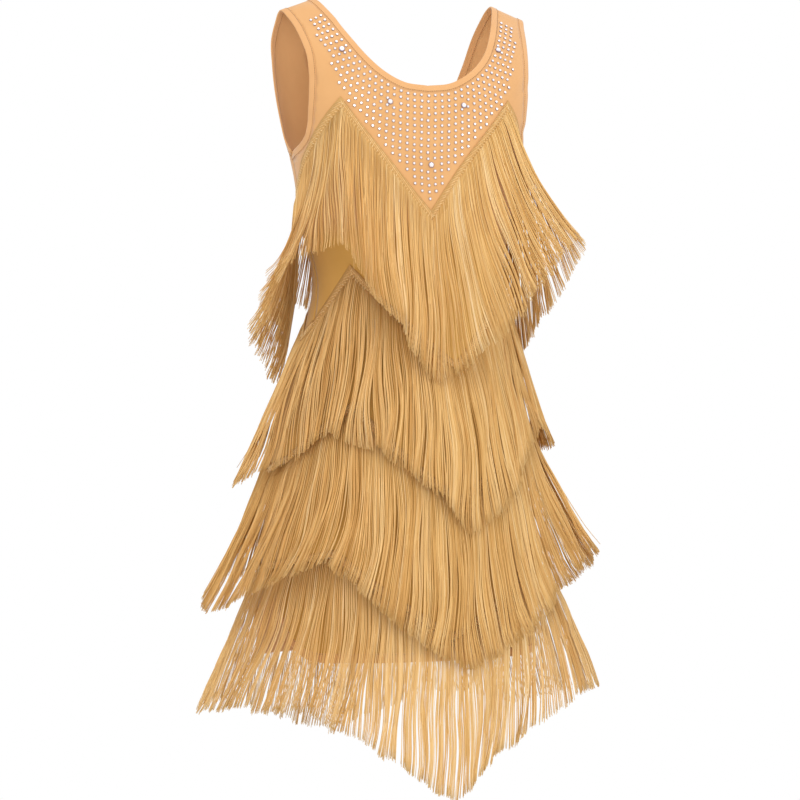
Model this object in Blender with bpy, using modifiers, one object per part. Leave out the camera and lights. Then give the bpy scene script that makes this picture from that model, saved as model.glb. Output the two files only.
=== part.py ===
"""A sleeveless latin dance dress with four zigzag tiers of fringe, filled out as it is worn.

Metres, +Z up. The origin lies between the two shoulder straps, level with their tops at the neck.
The front faces -Y and the wearer's left is +X. Below the waist the dress turns towards +X.
The cloth is one smooth surface, given by how far round it lies from the centre line and how far down
the cloth from the shoulder fold. Panels, bindings and trims are all made from that surface's points.
"""

import math
import random

import bpy
import bmesh
import numpy as np
from mathutils import Vector
from mathutils.geometry import delaunay_2d_cdt

# Cloth and trimming sizes
CLOTH_THICKNESS = 0.0015
SEAM_GAP = 0.0003
BINDING_WIDTH = 0.0080
BINDING_THICKNESS = 0.0021
HEADER_DROP = 0.0100
HEADER_THICKNESS = 0.0022
HEADER_LIFT = (0.0010, 0.0011, 0.0006, 0.0005)
FRINGE_LENGTH = 0.188
FRINGE_LENGTH_SPREAD = 0.006
LOCK_SHARE = 0.80
LOCK_TIP_SHARE = 0.72
LOCK_SEGMENTS = 3
LOCK_CLEARANCE_AT = (0.0, 0.25, 0.75, 1.0)
LOCK_CLEARANCE = (0.0, 0.008, 0.015, 0.018)
FLARE_BLEND = 0.008
SIDE_SEAM = 90.0
SIDE_SEAM_MARGIN = 0.15

# The worn form. One row for each level down from the shoulder fold: the cloth's length from the
# fold, the drop below the fold, half the width, the depth of the front and of the back, the
# corner power of the section (2 is an ellipse), the turn in degrees and the shift towards +X.
FORM = (
    # run, drop, half_width, front, back, corner, turn, shift
    (0.000, 0.000, 0.1620, 0.000, 0.000, 3.2, 0.0, 0.000),
    (0.012, 0.004, 0.1620, 0.011, 0.011, 3.2, 0.0, 0.000),
    (0.035, 0.019, 0.1630, 0.029, 0.026, 3.2, 0.0, 0.000),
    (0.070, 0.044, 0.1630, 0.055, 0.046, 3.1, -1.0, 0.000),
    (0.110, 0.075, 0.1600, 0.079, 0.063, 2.9, -2.0, 0.001),
    (0.150, 0.110, 0.1560, 0.096, 0.077, 2.7, -4.0, 0.002),
    (0.200, 0.158, 0.1460, 0.109, 0.088, 2.5, -6.0, 0.002),
    (0.250, 0.207, 0.1340, 0.115, 0.094, 2.3, -7.0, 0.002),
    (0.290, 0.247, 0.1290, 0.113, 0.093, 2.2, -6.0, 0.003),
    (0.340, 0.295, 0.1225, 0.100, 0.084, 2.1, -1.0, 0.004),
    (0.385, 0.339, 0.1180, 0.091, 0.080, 2.1, 5.0, 0.005),
    (0.440, 0.393, 0.1280, 0.095, 0.090, 2.1, 11.0, 0.004),
    (0.500, 0.450, 0.1450, 0.106, 0.105, 2.1, 15.0, 0.002),
    (0.560, 0.509, 0.1590, 0.115, 0.116, 2.2, 16.0, -0.002),
    (0.640, 0.588, 0.1680, 0.120, 0.119, 2.2, 15.0, -0.005),
    (0.720, 0.668, 0.1725, 0.122, 0.119, 2.2, 13.0, -0.007),
    (0.800, 0.748, 0.1750, 0.124, 0.121, 2.2, 12.0, -0.009),
    (0.860, 0.808, 0.1760, 0.125, 0.122, 2.2, 11.0, -0.010),
)

# The straps fall away from the neck towards the arm, less and less down to the yoke.
STRAP_SLOPE = 0.38
STRAP_SLOPE_FROM = 0.105
STRAP_SLOPE_ENDS_AT_RUN = 0.110

# Where the panels end at the neck and at the arms: half the width at each drop, front and back.
NECK_FRONT = (
    # half_width, drop
    (0.1210, 0.000),
    (0.1090, 0.027),
    (0.0960, 0.053),
    (0.0785, 0.080),
    (0.0565, 0.101),
    (0.0300, 0.115),
    (0.0000, 0.119),
)
NECK_BACK = (
    (0.1210, 0.000),
    (0.1130, 0.035),
    (0.1030, 0.075),
    (0.0870, 0.110),
    (0.0640, 0.136),
    (0.0340, 0.151),
    (0.0000, 0.156),
)
ARM_FRONT = (
    (0.1480, 0.000),
    (0.1390, 0.034),
    (0.1320, 0.075),
    (0.1295, 0.112),
    (0.1290, 0.148),
    (0.1305, 0.176),
    (0.1380, 0.194),
)
ARM_BACK = (
    (0.1480, 0.000),
    (0.1510, 0.034),
    (0.1525, 0.075),
    (0.1495, 0.112),
    (0.1440, 0.148),
    (0.1390, 0.176),
    (0.1380, 0.194),
)

# The hem is level across the front and the back and curves up to each side seam.
HEM_DROP = 0.784
HEM_SIDE_RISE = 0.094
HEM_RISE_FROM = 50.0

# The zigzag of each fringe tier, as the drop of its header at the centre line, at the peak, at the
# low place behind the side seam (only on the back) and at the side seam, with the places of the
# peak and the low in degrees from the centre line, and how many locks hang on each side of the peak.
TIERS_FRONT = (
    # centre, peak, low, seam, peak_around, low_around, centre_locks, side_locks
    (0.258, 0.1255, 0.1951, 0.224, 36.0, 74.0, 6, 9),
    (0.435, 0.321, 0.3566, 0.385, 54.0, 74.0, 8, 7),
    (0.593, 0.480, 0.5168, 0.545, 52.0, 73.5, 8, 7),
    (0.751, 0.653, 0.6615, 0.668, 52.0, 73.5, 8, 7),
)
TIERS_BACK = (
    (0.250, 0.160, 0.262, 0.224, 38.0, 74.0, 6, 9),
    (0.425, 0.345, 0.400, 0.385, 42.0, 74.0, 7, 8),
    (0.568, 0.500, 0.556, 0.545, 42.0, 74.0, 7, 8),
    (0.690, 0.655, 0.676, 0.668, 42.0, 74.0, 7, 8),
)

# How the fringe swings, by degrees round the form: 0 is the centre front, -90 the wearer's right
# side, 180 the centre back. Each tier has its angle out from hanging straight. Tier 1 also curves,
# from leaving the cloth straight (0) to swinging out near its ends (1). Tiers 2 and 3 curve a little.
# Tier 4 leaves the cloth at a wide angle and hangs straighter below where its curve is negative.
SWING = (
    # around, tier_1, tier_2, tier_3, tier_4, tier_1_curve, tier_4_curve
    (-180.0, 8.0, 8.0, 8.0, 8.0, 0.6, 0.0),
    (-140.0, 16.0, 18.0, 18.0, 18.0, 0.8, 0.0),
    (-110.0, 8.0, 23.0, 25.0, 23.0, 1.0, 0.0),
    (-90.0, 19.5, 25.0, 26.0, 24.0, 1.0, 0.0),
    (-74.0, 23.0, 17.0, 26.0, 23.0, 1.0, 0.0),
    (-60.0, 26.0, 14.0, 24.0, 19.0, 1.0, -0.1),
    (-45.0, 31.0, 12.0, 17.0, 13.0, 0.8, -0.2),
    (-36.0, 30.0, 11.0, 14.0, 10.0, 0.7, -0.2),
    (-20.0, 16.0, 8.0, 8.0, 6.0, 0.5, -0.2),
    (0.0, 4.0, 4.0, 4.0, 2.0, 0.4, 0.0),
    (20.0, 17.0, 8.0, 7.0, 5.0, 0.3, 0.0),
    (36.0, 36.0, 11.0, 13.0, 9.0, 0.2, 0.0),
    (45.0, 28.0, 12.0, 21.0, 17.0, 0.2, -0.1),
    (54.0, 19.0, 15.0, 27.0, 24.0, 0.2, -0.3),
    (62.0, 11.0, 17.0, 28.0, 27.0, 0.2, -0.3),
    (74.0, 7.0, 17.0, 28.0, 27.0, 0.2, -0.3),
    (90.0, 3.0, 17.0, 24.0, 23.0, 0.3, -0.2),
    (110.0, 6.0, 16.0, 20.0, 20.0, 0.4, 0.0),
    (140.0, 20.0, 16.0, 16.0, 16.0, 0.5, 0.0),
    (180.0, 8.0, 8.0, 8.0, 8.0, 0.6, 0.0),
)
# How far each tier's strands drift sideways by their tips, in metres
DRIFT = (
    # around, tier_1, tier_2, tier_3, tier_4
    (-180.0, 0.000, 0.000, 0.000, 0.000),
    (-100.0, 0.000, 0.000, 0.000, 0.000),
    (-74.0, 0.004, 0.004, -0.006, -0.010),
    (-60.0, 0.006, 0.010, -0.012, -0.018),
    (-45.0, 0.012, 0.024, -0.014, -0.026),
    (-30.0, 0.022, 0.014, -0.020, -0.030),
    (-20.0, 0.008, 0.009, -0.020, -0.026),
    (-10.0, 0.002, 0.005, -0.018, -0.022),
    (0.0, 0.006, 0.000, 0.000, -0.014),
    (5.0, 0.017, 0.012, 0.012, -0.013),
    (10.0, 0.024, 0.016, 0.022, -0.018),
    (20.0, 0.026, 0.016, 0.032, -0.026),
    (28.0, 0.022, 0.013, 0.032, -0.030),
    (36.0, 0.016, 0.004, 0.026, -0.030),
    (45.0, 0.010, -0.004, 0.012, -0.024),
    (54.0, 0.004, 0.000, 0.000, -0.014),
    (62.0, 0.000, 0.000, 0.000, -0.006),
    (90.0, 0.000, 0.000, 0.000, 0.000),
    (180.0, 0.000, 0.000, 0.000, 0.000),
)
MIDDLE_TIER_CURVE = 0.2
FIRST_CURVE_SHARE = 0.06
SWING_SPREAD = 0.08
DRIFT_SPREAD = 0.0012
SWING_SEED = 11

# How finely the cloth is divided. Rows lie closer together where the cloth bends over the shoulder.
SHOULDER_ROWS = (0.005, 0.011, 0.019, 0.030, 0.045, 0.062)
FIRST_ROW_BELOW = 0.020
ROW_SPACING = 0.027
COLUMN_SPACING = 9.6
COLUMNS_EACH_SIDE = 9
SHOULDER_CLEARANCE = 0.003
EDGE_CLEARANCE = 0.009
CHART_WIDTH = 0.20
NECK_POINTS = 11
ARM_POINTS = 13
SHOULDER_POINTS = 4
HEM_POINTS = 14
EDGE_CROWDING = 1.4
FIRST_EDGE_RUN = 0.0010
ANGLE_STEP = 0.5
RUN_STEP = 0.0005
FINE_COUNT = 400
SAME_POINT = 1e-6
KEEP_INSIDE = 1

# Colour and roughness of each material
CLOTH_FINISH = ((0.74, 0.45, 0.23, 1.0), 0.70)
BINDING_FINISH = ((0.77, 0.48, 0.25, 1.0), 0.65)
FRINGE_FINISH = ((0.66, 0.39, 0.15, 1.0), 0.50)


def spline(x, knots, values):
    """A smooth curve through the knots: cubic between each two, with the slopes of its neighbours."""
    slopes = np.gradient(values, knots)
    x = np.asarray(x, float)
    left = np.clip(np.searchsorted(knots, x) - 1, 0, len(knots) - 2)
    step = knots[left + 1] - knots[left]
    t = (x - knots[left]) / step
    rise = (2 * t**3 - 3 * t**2 + 1) * values[left] + (3 * t**2 - 2 * t**3) * values[left + 1]
    bend = (t**3 - 2 * t**2 + t) * slopes[left] + (t**3 - t**2) * slopes[left + 1]
    return rise + bend * step


def signed_form():
    """The form's columns over a run that is negative down the back and positive down the front."""
    run, drop, width, front, back, corner, turn, shift = np.array(FORM).T

    def both_ways(column):
        return np.concatenate([column[:0:-1], column])

    runs = np.concatenate([-run[:0:-1], run])
    depth = np.concatenate([back[:0:-1], -front])
    return runs, [both_ways(c) for c in (drop, width)] + [depth] + [both_ways(c) for c in (corner, turn, shift)]


RUNS, COLUMNS = signed_form()
FINE_RUNS = np.linspace(0.0, FORM[-1][0], FINE_COUNT)
FINE_DROPS = spline(FINE_RUNS, RUNS, COLUMNS[0])


def run_at_drop(drop):
    """How far down the cloth a height lies. It is the same on the front and on the back."""
    return np.interp(drop, FINE_DROPS, FINE_RUNS)


def surface(around, run):
    """Points of the cloth's outer face. around is in degrees from the centre line, and past the
    side seam it goes on to the other side of the dress. run is negative down the back."""
    around, run = np.broadcast_arrays(np.asarray(around, float), np.asarray(run, float))
    past_seam = np.abs(around) > SIDE_SEAM
    run = np.where(past_seam, -run, run)
    around = np.where(past_seam, np.sign(around) * 2 * SIDE_SEAM - around, around)
    drop, width, depth, corner, turn, shift = (spline(run, RUNS, column) for column in COLUMNS)
    angle = np.radians(around)
    x = width * np.sign(angle) * np.abs(np.sin(angle)) ** (2 / corner)
    y = depth * np.abs(np.cos(angle)) ** (2 / corner)
    fade = np.clip(1 - np.abs(run) / STRAP_SLOPE_ENDS_AT_RUN, 0, 1)
    z = -drop - STRAP_SLOPE * fade * np.maximum(0, np.abs(x) - STRAP_SLOPE_FROM)
    turn = np.radians(turn)
    return np.stack([x * np.cos(turn) - y * np.sin(turn) + shift, x * np.sin(turn) + y * np.cos(turn), z], axis=-1)


def unit(vectors):
    return vectors / np.linalg.norm(vectors, axis=-1, keepdims=True)


def outward(around, run):
    """The outward normal of the cloth."""
    across = surface(np.add(around, ANGLE_STEP), run) - surface(np.subtract(around, ANGLE_STEP), run)
    down = surface(around, np.add(run, RUN_STEP)) - surface(around, np.subtract(run, RUN_STEP))
    return unit(np.cross(down, across))


def lifted(around, run, lift):
    return surface(around, run) + lift * outward(around, run)


def around_at_width(half_width, run):
    """How far round a point lies that is this far from the centre line."""
    widest = spline(run, RUNS, COLUMNS[1])
    corner = spline(run, RUNS, COLUMNS[3])
    return np.degrees(np.arcsin(np.clip(half_width / widest, 0, 1) ** (corner / 2)))


def edge_curve(table, count):
    """(around, run) along a neck or arm edge from the shoulder down, closer together at the top."""
    half_width, drop = np.array(table).T
    knots = np.concatenate([[0], np.cumsum(np.hypot(np.diff(half_width), np.diff(drop)))])
    places = (np.arange(count) / (count - 1)) ** EDGE_CROWDING * knots[-1]
    width_here = spline(places, knots, half_width)
    run_here = run_at_drop(spline(places, knots, drop))
    around = around_at_width(width_here, run_here)
    if half_width[-1] > 0:
        around[-1] = SIDE_SEAM
    # A second point close under the shoulder seam keeps the cloth level there
    share = FIRST_EDGE_RUN / run_here[1]
    around = np.insert(around, 1, around[0] + share * (around[1] - around[0]))
    return around, np.insert(run_here, 1, FIRST_EDGE_RUN)


def hem_drop(around):
    share = np.clip((np.abs(around) - HEM_RISE_FROM) / (SIDE_SEAM - HEM_RISE_FROM), 0, 1)
    return HEM_DROP - HEM_SIDE_RISE * share**3


def chart(around, run):
    """A flat picture of the cloth: across in proportion to the angle, down by the run."""
    return np.stack([np.asarray(around) / SIDE_SEAM * CHART_WIDTH, np.asarray(run)], axis=-1)


def half_outline(neck, arm):
    """(around, run) round half a panel: up the neck edge from the centre line, over the shoulder,
    down the arm edge, down the side seam and along the hem. The centre line isn't repeated."""
    seam = SIDE_SEAM - SIDE_SEAM_MARGIN
    neck_around, neck_run = edge_curve(neck, NECK_POINTS)
    arm_around, arm_run = edge_curve(arm, ARM_POINTS)
    shoulder = np.linspace(neck_around[0], arm_around[0], SHOULDER_POINTS + 1)[1:-1]
    side_end = run_at_drop(hem_drop(seam))
    side_count = int((side_end - arm_run[-1]) / ROW_SPACING)
    side = np.linspace(arm_run[-1], side_end, side_count + 1)[1:]
    hem = np.linspace(seam, 0, HEM_POINTS + 1)[1:]
    around = np.concatenate([neck_around[::-1], shoulder, arm_around, np.full(side_count, seam), hem])
    run = np.concatenate([neck_run[::-1], np.zeros(len(shoulder)), arm_run, side, run_at_drop(hem_drop(hem))])
    return np.minimum(around, seam), np.maximum(run, SEAM_GAP / 2)


def inside(points, outline):
    """Which points lie inside a closed outline, and how far each lies from it."""
    starts, ends = outline, np.roll(outline, -1, axis=0)
    x, y = points[:, :1], points[:, 1:]
    crosses = (starts[:, 1] > y) != (ends[:, 1] > y)
    rise = np.where(crosses, ends[:, 1] - starts[:, 1], 1.0)
    at = starts[:, 0] + (y - starts[:, 1]) * (ends[:, 0] - starts[:, 0]) / rise
    within = np.sum(crosses & (x < at), axis=1) % 2 == 1
    edge = ends - starts
    share = np.sum((points[:, None] - starts) * edge, axis=2) / np.sum(edge**2, axis=1)
    nearest = starts + np.clip(share, 0, 1)[..., None] * edge
    return within, np.min(np.linalg.norm(points[:, None] - nearest, axis=2), axis=1)


def seam_allowance(half_around, half_run):
    """A line of corners close under the shoulder seam, so that the cloth stays level there."""
    above = NECK_POINTS - 1
    below = NECK_POINTS + SHOULDER_POINTS + 1
    shoulder = half_around[NECK_POINTS + 1 : NECK_POINTS + SHOULDER_POINTS]
    share = np.arange(1, SHOULDER_POINTS) / SHOULDER_POINTS
    run = half_run[above] + share * (half_run[below] - half_run[above])
    return above, below, shoulder, run


def panel_chart(neck, arm):
    """The panel laid out flat as triangles: its corners as (around, run), and its faces."""
    half_around, half_run = half_outline(neck, arm)
    around = np.concatenate([half_around, -half_around[-2:0:-1]])
    run = np.concatenate([half_run, half_run[-2:0:-1]])
    outline = chart(around, run)
    edges = [(i, (i + 1) % len(outline)) for i in range(len(outline))]
    above, below, line_around, line_run = seam_allowance(half_around, half_run)
    lines = []
    for side in (1, -1):
        ends = (above, below) if side > 0 else (2 * len(half_run) - 2 - above, 2 * len(half_run) - 2 - below)
        first = len(outline) + len(lines) * len(line_run)
        chain = [ends[0]] + [first + i for i in range(len(line_run))] + [ends[1]]
        edges.extend(zip(chain[:-1], chain[1:]))
        lines.append(chart(side * line_around, line_run))
    rows = list(SHOULDER_ROWS) + list(np.arange(SHOULDER_ROWS[-1] + FIRST_ROW_BELOW, run.max(), ROW_SPACING))
    columns = np.arange(-COLUMNS_EACH_SIDE, COLUMNS_EACH_SIDE + 1) * COLUMN_SPACING
    grid = chart(*np.array([(a, r) for r in rows for a in columns]).T)
    within, away = inside(grid, outline)
    clearance = np.where(grid[:, 1] < SHOULDER_ROWS[-1], SHOULDER_CLEARANCE, EDGE_CLEARANCE)
    kept = grid[within & (away > clearance)]
    points = [Vector(p) for p in np.concatenate([outline] + lines + [kept])]
    made = delaunay_2d_cdt(points, edges, [], KEEP_INSIDE, SAME_POINT)
    corners = np.array([tuple(p) for p in made[0]])
    return corners[:, 0] / CHART_WIDTH * SIDE_SEAM, corners[:, 1], [tuple(face) for face in made[2]]


def facing_out(points, faces, normals):
    """Turns each face round whose normal doesn't agree with the cloth's own."""
    turned = []
    for face in faces:
        a, b, c = (points[face[i]] for i in (0, 1, -1))
        along = np.dot(np.cross(b - a, c - a), normals[face[0]])
        turned.append(face if along > 0 else face[::-1])
    return turned


def material(name, colour, roughness):
    made = bpy.data.materials.new(name)
    made.use_nodes = True
    shader = made.node_tree.nodes["Principled BSDF"]
    shader.inputs["Base Color"].default_value = colour
    shader.inputs["Roughness"].default_value = roughness
    shader.inputs["Metallic"].default_value = 0.0
    return made


def cloth_object(name, points, faces, thickness, inward, finish, collection, parent):
    """One piece of cloth: an open surface given its thickness by Solidify."""
    mesh = bpy.data.meshes.new(name)
    mesh.from_pydata([tuple(p) for p in points], [], faces)
    work = bmesh.new()
    work.from_mesh(mesh)
    bmesh.ops.remove_doubles(work, verts=work.verts, dist=SAME_POINT)
    work.to_mesh(mesh)
    work.free()
    mesh.shade_smooth()
    mesh.materials.append(finish)
    piece = bpy.data.objects.new(name, mesh)
    collection.objects.link(piece)
    piece.parent = parent
    wall = piece.modifiers.new("thickness", "SOLIDIFY")
    wall.thickness = thickness
    wall.offset = -1.0 if inward else 1.0
    wall.use_rim = True
    return piece


def panel(name, sign, neck, arm, finish, collection, parent):
    """A front or back panel, from the shoulder seams to the hem. sign is -1 for the back."""
    around, run, faces = panel_chart(neck, arm)
    points = surface(around, sign * run)
    faces = facing_out(points, faces, outward(around, sign * run))
    return cloth_object(name, points, faces, CLOTH_THICKNESS, True, finish, collection, parent)


def towards_opening(points, normals, centre):
    """Unit vectors in the cloth, square to a closed edge and pointing to the opening's middle."""
    along = unit(np.roll(points, -1, axis=0) - np.roll(points, 1, axis=0))
    across = unit(np.cross(normals, along))
    inwards = np.sum(across * (centre - points), axis=1)
    return across * np.sign(inwards)[:, None]


def binding(name, points, normals, finish, collection, parent):
    """A narrow band round an opening. Its seam edge stands 0.3 mm from the panels' edge."""
    centre = points.mean(axis=0)
    across = towards_opening(points, normals, centre)
    proud = (BINDING_THICKNESS - CLOTH_THICKNESS) / 2
    seam_edge = points + SEAM_GAP * across + proud * normals
    free_edge = points + (SEAM_GAP + BINDING_WIDTH) * across + proud * normals
    count = len(points)
    corners = np.concatenate([seam_edge, free_edge])
    both = np.concatenate([normals, normals])
    faces = [(i, (i + 1) % count, count + (i + 1) % count, count + i) for i in range(count)]
    faces = facing_out(corners, faces, both)
    return cloth_object(name, corners, faces, BINDING_THICKNESS, True, finish, collection, parent)


def neck_loop():
    """The panels' neck edge, once round: right front, left front, left back, right back."""
    front_around, front_run = edge_curve(NECK_FRONT, NECK_POINTS)
    back_around, back_run = edge_curve(NECK_BACK, NECK_POINTS)
    around = np.concatenate([-front_around[:-1], front_around[::-1], back_around[1:], -back_around[-2:0:-1]])
    run = np.concatenate([front_run[:-1], front_run[::-1], -back_run[1:], -back_run[-2:0:-1]])
    return around, run


def arm_loop(side):
    """The panels' arm edge, once round: down the front to the underarm and up the back."""
    front_around, front_run = edge_curve(ARM_FRONT, ARM_POINTS)
    back_around, back_run = edge_curve(ARM_BACK, ARM_POINTS)
    around = side * np.concatenate([front_around, back_around[-2:0:-1]])
    run = np.concatenate([front_run, -back_run[-2:0:-1]])
    return around, run


def tier_drop(tier, sign, around):
    """The drop of a tier's header along its zigzag."""
    row = (TIERS_FRONT if sign > 0 else TIERS_BACK)[tier]
    return np.interp(np.abs(around), [0.0, row[4], row[5], SIDE_SEAM], row[:4])


def smooth_larger(a, b):
    return 0.5 * (a + b + np.sqrt((a - b) ** 2 + FLARE_BLEND**2))


def strand(tier, around, sign, lengths, swing_factor, drift_extra, lift):
    """Points down one edge of a lock, which hangs from its header at (around, sign): it leaves the
    cloth, swings outwards more and more, and lies over the body where that is wider below."""
    top_drop = tier_drop(tier, sign, around) + HEADER_DROP
    top_run = sign * run_at_drop(top_drop)
    root = lifted(around, top_run, lift)
    out = outward(around, top_run)
    out[2] = 0.0
    out = unit(out)
    sideways = np.array([-out[1], out[0], 0.0])
    place = around if sign > 0 else math.copysign(2 * SIDE_SEAM, around) - around
    columns = np.array(SWING).T
    angle = math.radians(np.interp(place, columns[0], columns[tier + 1])) * swing_factor
    curve = {0: np.interp(place, columns[0], columns[5]), 3: np.interp(place, columns[0], columns[6])}
    curve = curve.get(tier, MIDDLE_TIER_CURVE)
    columns = np.array(DRIFT).T
    drift = np.interp(place, columns[0], columns[tier + 1]) + drift_extra
    share = lengths / FRINGE_LENGTH
    lean = angle * (1 + curve) * np.maximum(share, FIRST_CURVE_SHARE) ** curve
    steps = np.diff(lengths, prepend=0.0)
    middle_lean = (lean + np.concatenate([[0.0], lean[:-1]])) / 2
    flare = np.cumsum(np.sin(middle_lean) * steps)
    fall = np.cumsum(np.cos(middle_lean) * steps)
    hem = hem_drop(around)
    below_run = sign * run_at_drop(np.minimum(top_drop + fall, hem))
    body = surface(np.full(len(fall), around), below_run)
    widening = (body - surface(around, top_run)) @ out
    clear = np.interp(share, LOCK_CLEARANCE_AT, LOCK_CLEARANCE)
    away = smooth_larger(widening + clear, flare)
    away[0] = 0.0
    points = root + np.outer(away, out) + np.outer(drift * share**2, sideways)
    points[:, 2] = root[2] - fall
    return points


def lock_spans(peak_around, centre_locks, side_locks):
    """(first edge, last edge) of each lock round half a tier, centre to side, in degrees."""
    spans = []
    for start, end, count in ((0.0, peak_around, centre_locks), (peak_around, SIDE_SEAM, side_locks)):
        pitch = (end - start) / count
        margin = pitch * (1 - LOCK_SHARE) / 2
        spans.extend((start + i * pitch + margin, start + (i + 1) * pitch - margin) for i in range(count))
    return spans


def fringe(name, tier, sign, finish, collection, parent):
    """A zigzag header with its locks, for the front or the back. Header and locks are one comb:
    a strip of cells, with a ribbon hanging from every second cell."""
    chance = random.Random(SWING_SEED + 10 * tier + (1 if sign > 0 else 2))
    peak, low, centre_locks, side_locks = (TIERS_FRONT if sign > 0 else TIERS_BACK)[tier][4:]
    half = lock_spans(peak, centre_locks, side_locks)
    spans = [(-b, -a) for a, b in reversed(half)] + half
    seam = SIDE_SEAM - SIDE_SEAM_MARGIN
    corners = [a for a in (-low, low) if not any(start < a < end for start, end in spans)]
    stops = {-seam, -peak, 0.0, peak, seam, *corners} | {edge for span in spans for edge in span}
    stops = np.array(sorted(stops))
    top_run = sign * run_at_drop(tier_drop(tier, sign, stops))
    bottom_run = sign * run_at_drop(tier_drop(tier, sign, stops) + HEADER_DROP)
    lift = HEADER_LIFT[tier]
    points = list(lifted(stops, top_run, lift)) + list(lifted(stops, bottom_run, lift))
    normals = list(outward(stops, top_run)) + list(outward(stops, bottom_run))
    count = len(stops)
    faces = [(i, count + i, count + i + 1, i + 1) for i in range(count - 1)]
    for first, last in spans:
        left = count + int(np.argmin(np.abs(stops - first)))
        right = count + int(np.argmin(np.abs(stops - last)))
        length = FRINGE_LENGTH + chance.uniform(-1, 1) * FRINGE_LENGTH_SPREAD
        lengths = np.linspace(0, length, LOCK_SEGMENTS + 1)
        swing = 1 + chance.uniform(-1, 1) * SWING_SPREAD
        drift = chance.uniform(-1, 1) * DRIFT_SPREAD
        one = strand(tier, first, sign, lengths, swing, drift, lift)
        two = strand(tier, last, sign, lengths, swing, drift, lift)
        tip_middle = (one[-1] + two[-1]) / 2
        one[-1] = tip_middle + (one[-1] - tip_middle) * LOCK_TIP_SHARE
        two[-1] = tip_middle + (two[-1] - tip_middle) * LOCK_TIP_SHARE
        for row in range(1, LOCK_SEGMENTS + 1):
            base = len(points)
            points.extend([one[row], two[row]])
            normals.extend([normals[left], normals[right]])
            faces.append((left, base, base + 1, right))
            left, right = base, base + 1
    faces = facing_out(points, faces, normals)
    return cloth_object(name, points, faces, HEADER_THICKNESS, False, finish, collection, parent)


def clear_scene():
    for old in list(bpy.data.objects):
        bpy.data.objects.remove(old)


def main():
    clear_scene()
    collection = bpy.data.collections.new("latin_dance_dress")
    bpy.context.scene.collection.children.link(collection)
    dress = bpy.data.objects.new("dress", None)
    collection.objects.link(dress)
    cloth = material("stretch_cloth", *CLOTH_FINISH)
    bound = material("bound_edge", *BINDING_FINISH)
    thread = material("fringe_thread", *FRINGE_FINISH)

    panel("front_panel", 1, NECK_FRONT, ARM_FRONT, cloth, collection, dress)
    panel("back_panel", -1, NECK_BACK, ARM_BACK, cloth, collection, dress)

    around, run = neck_loop()
    binding("neck_binding", surface(around, run), outward(around, run), bound, collection, dress)
    for name, side in (("arm_binding_left", 1), ("arm_binding_right", -1)):
        around, run = arm_loop(side)
        binding(name, surface(around, run), outward(around, run), bound, collection, dress)

    for tier in range(len(TIERS_FRONT)):
        fringe(f"fringe_{tier + 1}_front", tier, 1, thread, collection, dress)
        fringe(f"fringe_{tier + 1}_back", tier, -1, thread, collection, dress)


main()
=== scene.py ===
import bpy
import numpy as np
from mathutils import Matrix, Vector
from mathutils.geometry import delaunay_2d_cdt


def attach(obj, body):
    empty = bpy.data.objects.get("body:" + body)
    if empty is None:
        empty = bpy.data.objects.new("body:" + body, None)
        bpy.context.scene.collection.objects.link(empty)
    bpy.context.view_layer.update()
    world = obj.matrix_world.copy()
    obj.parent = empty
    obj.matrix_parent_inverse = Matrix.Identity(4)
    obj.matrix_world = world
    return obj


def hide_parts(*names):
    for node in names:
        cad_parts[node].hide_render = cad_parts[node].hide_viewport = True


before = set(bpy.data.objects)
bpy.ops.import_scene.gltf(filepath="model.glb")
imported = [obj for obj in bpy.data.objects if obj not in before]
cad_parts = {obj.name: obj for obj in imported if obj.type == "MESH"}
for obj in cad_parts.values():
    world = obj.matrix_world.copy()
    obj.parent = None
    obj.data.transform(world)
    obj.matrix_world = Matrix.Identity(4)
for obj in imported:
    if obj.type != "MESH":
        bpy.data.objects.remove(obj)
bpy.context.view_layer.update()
print("frame loaded with", len(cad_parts), "nodes")


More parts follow.
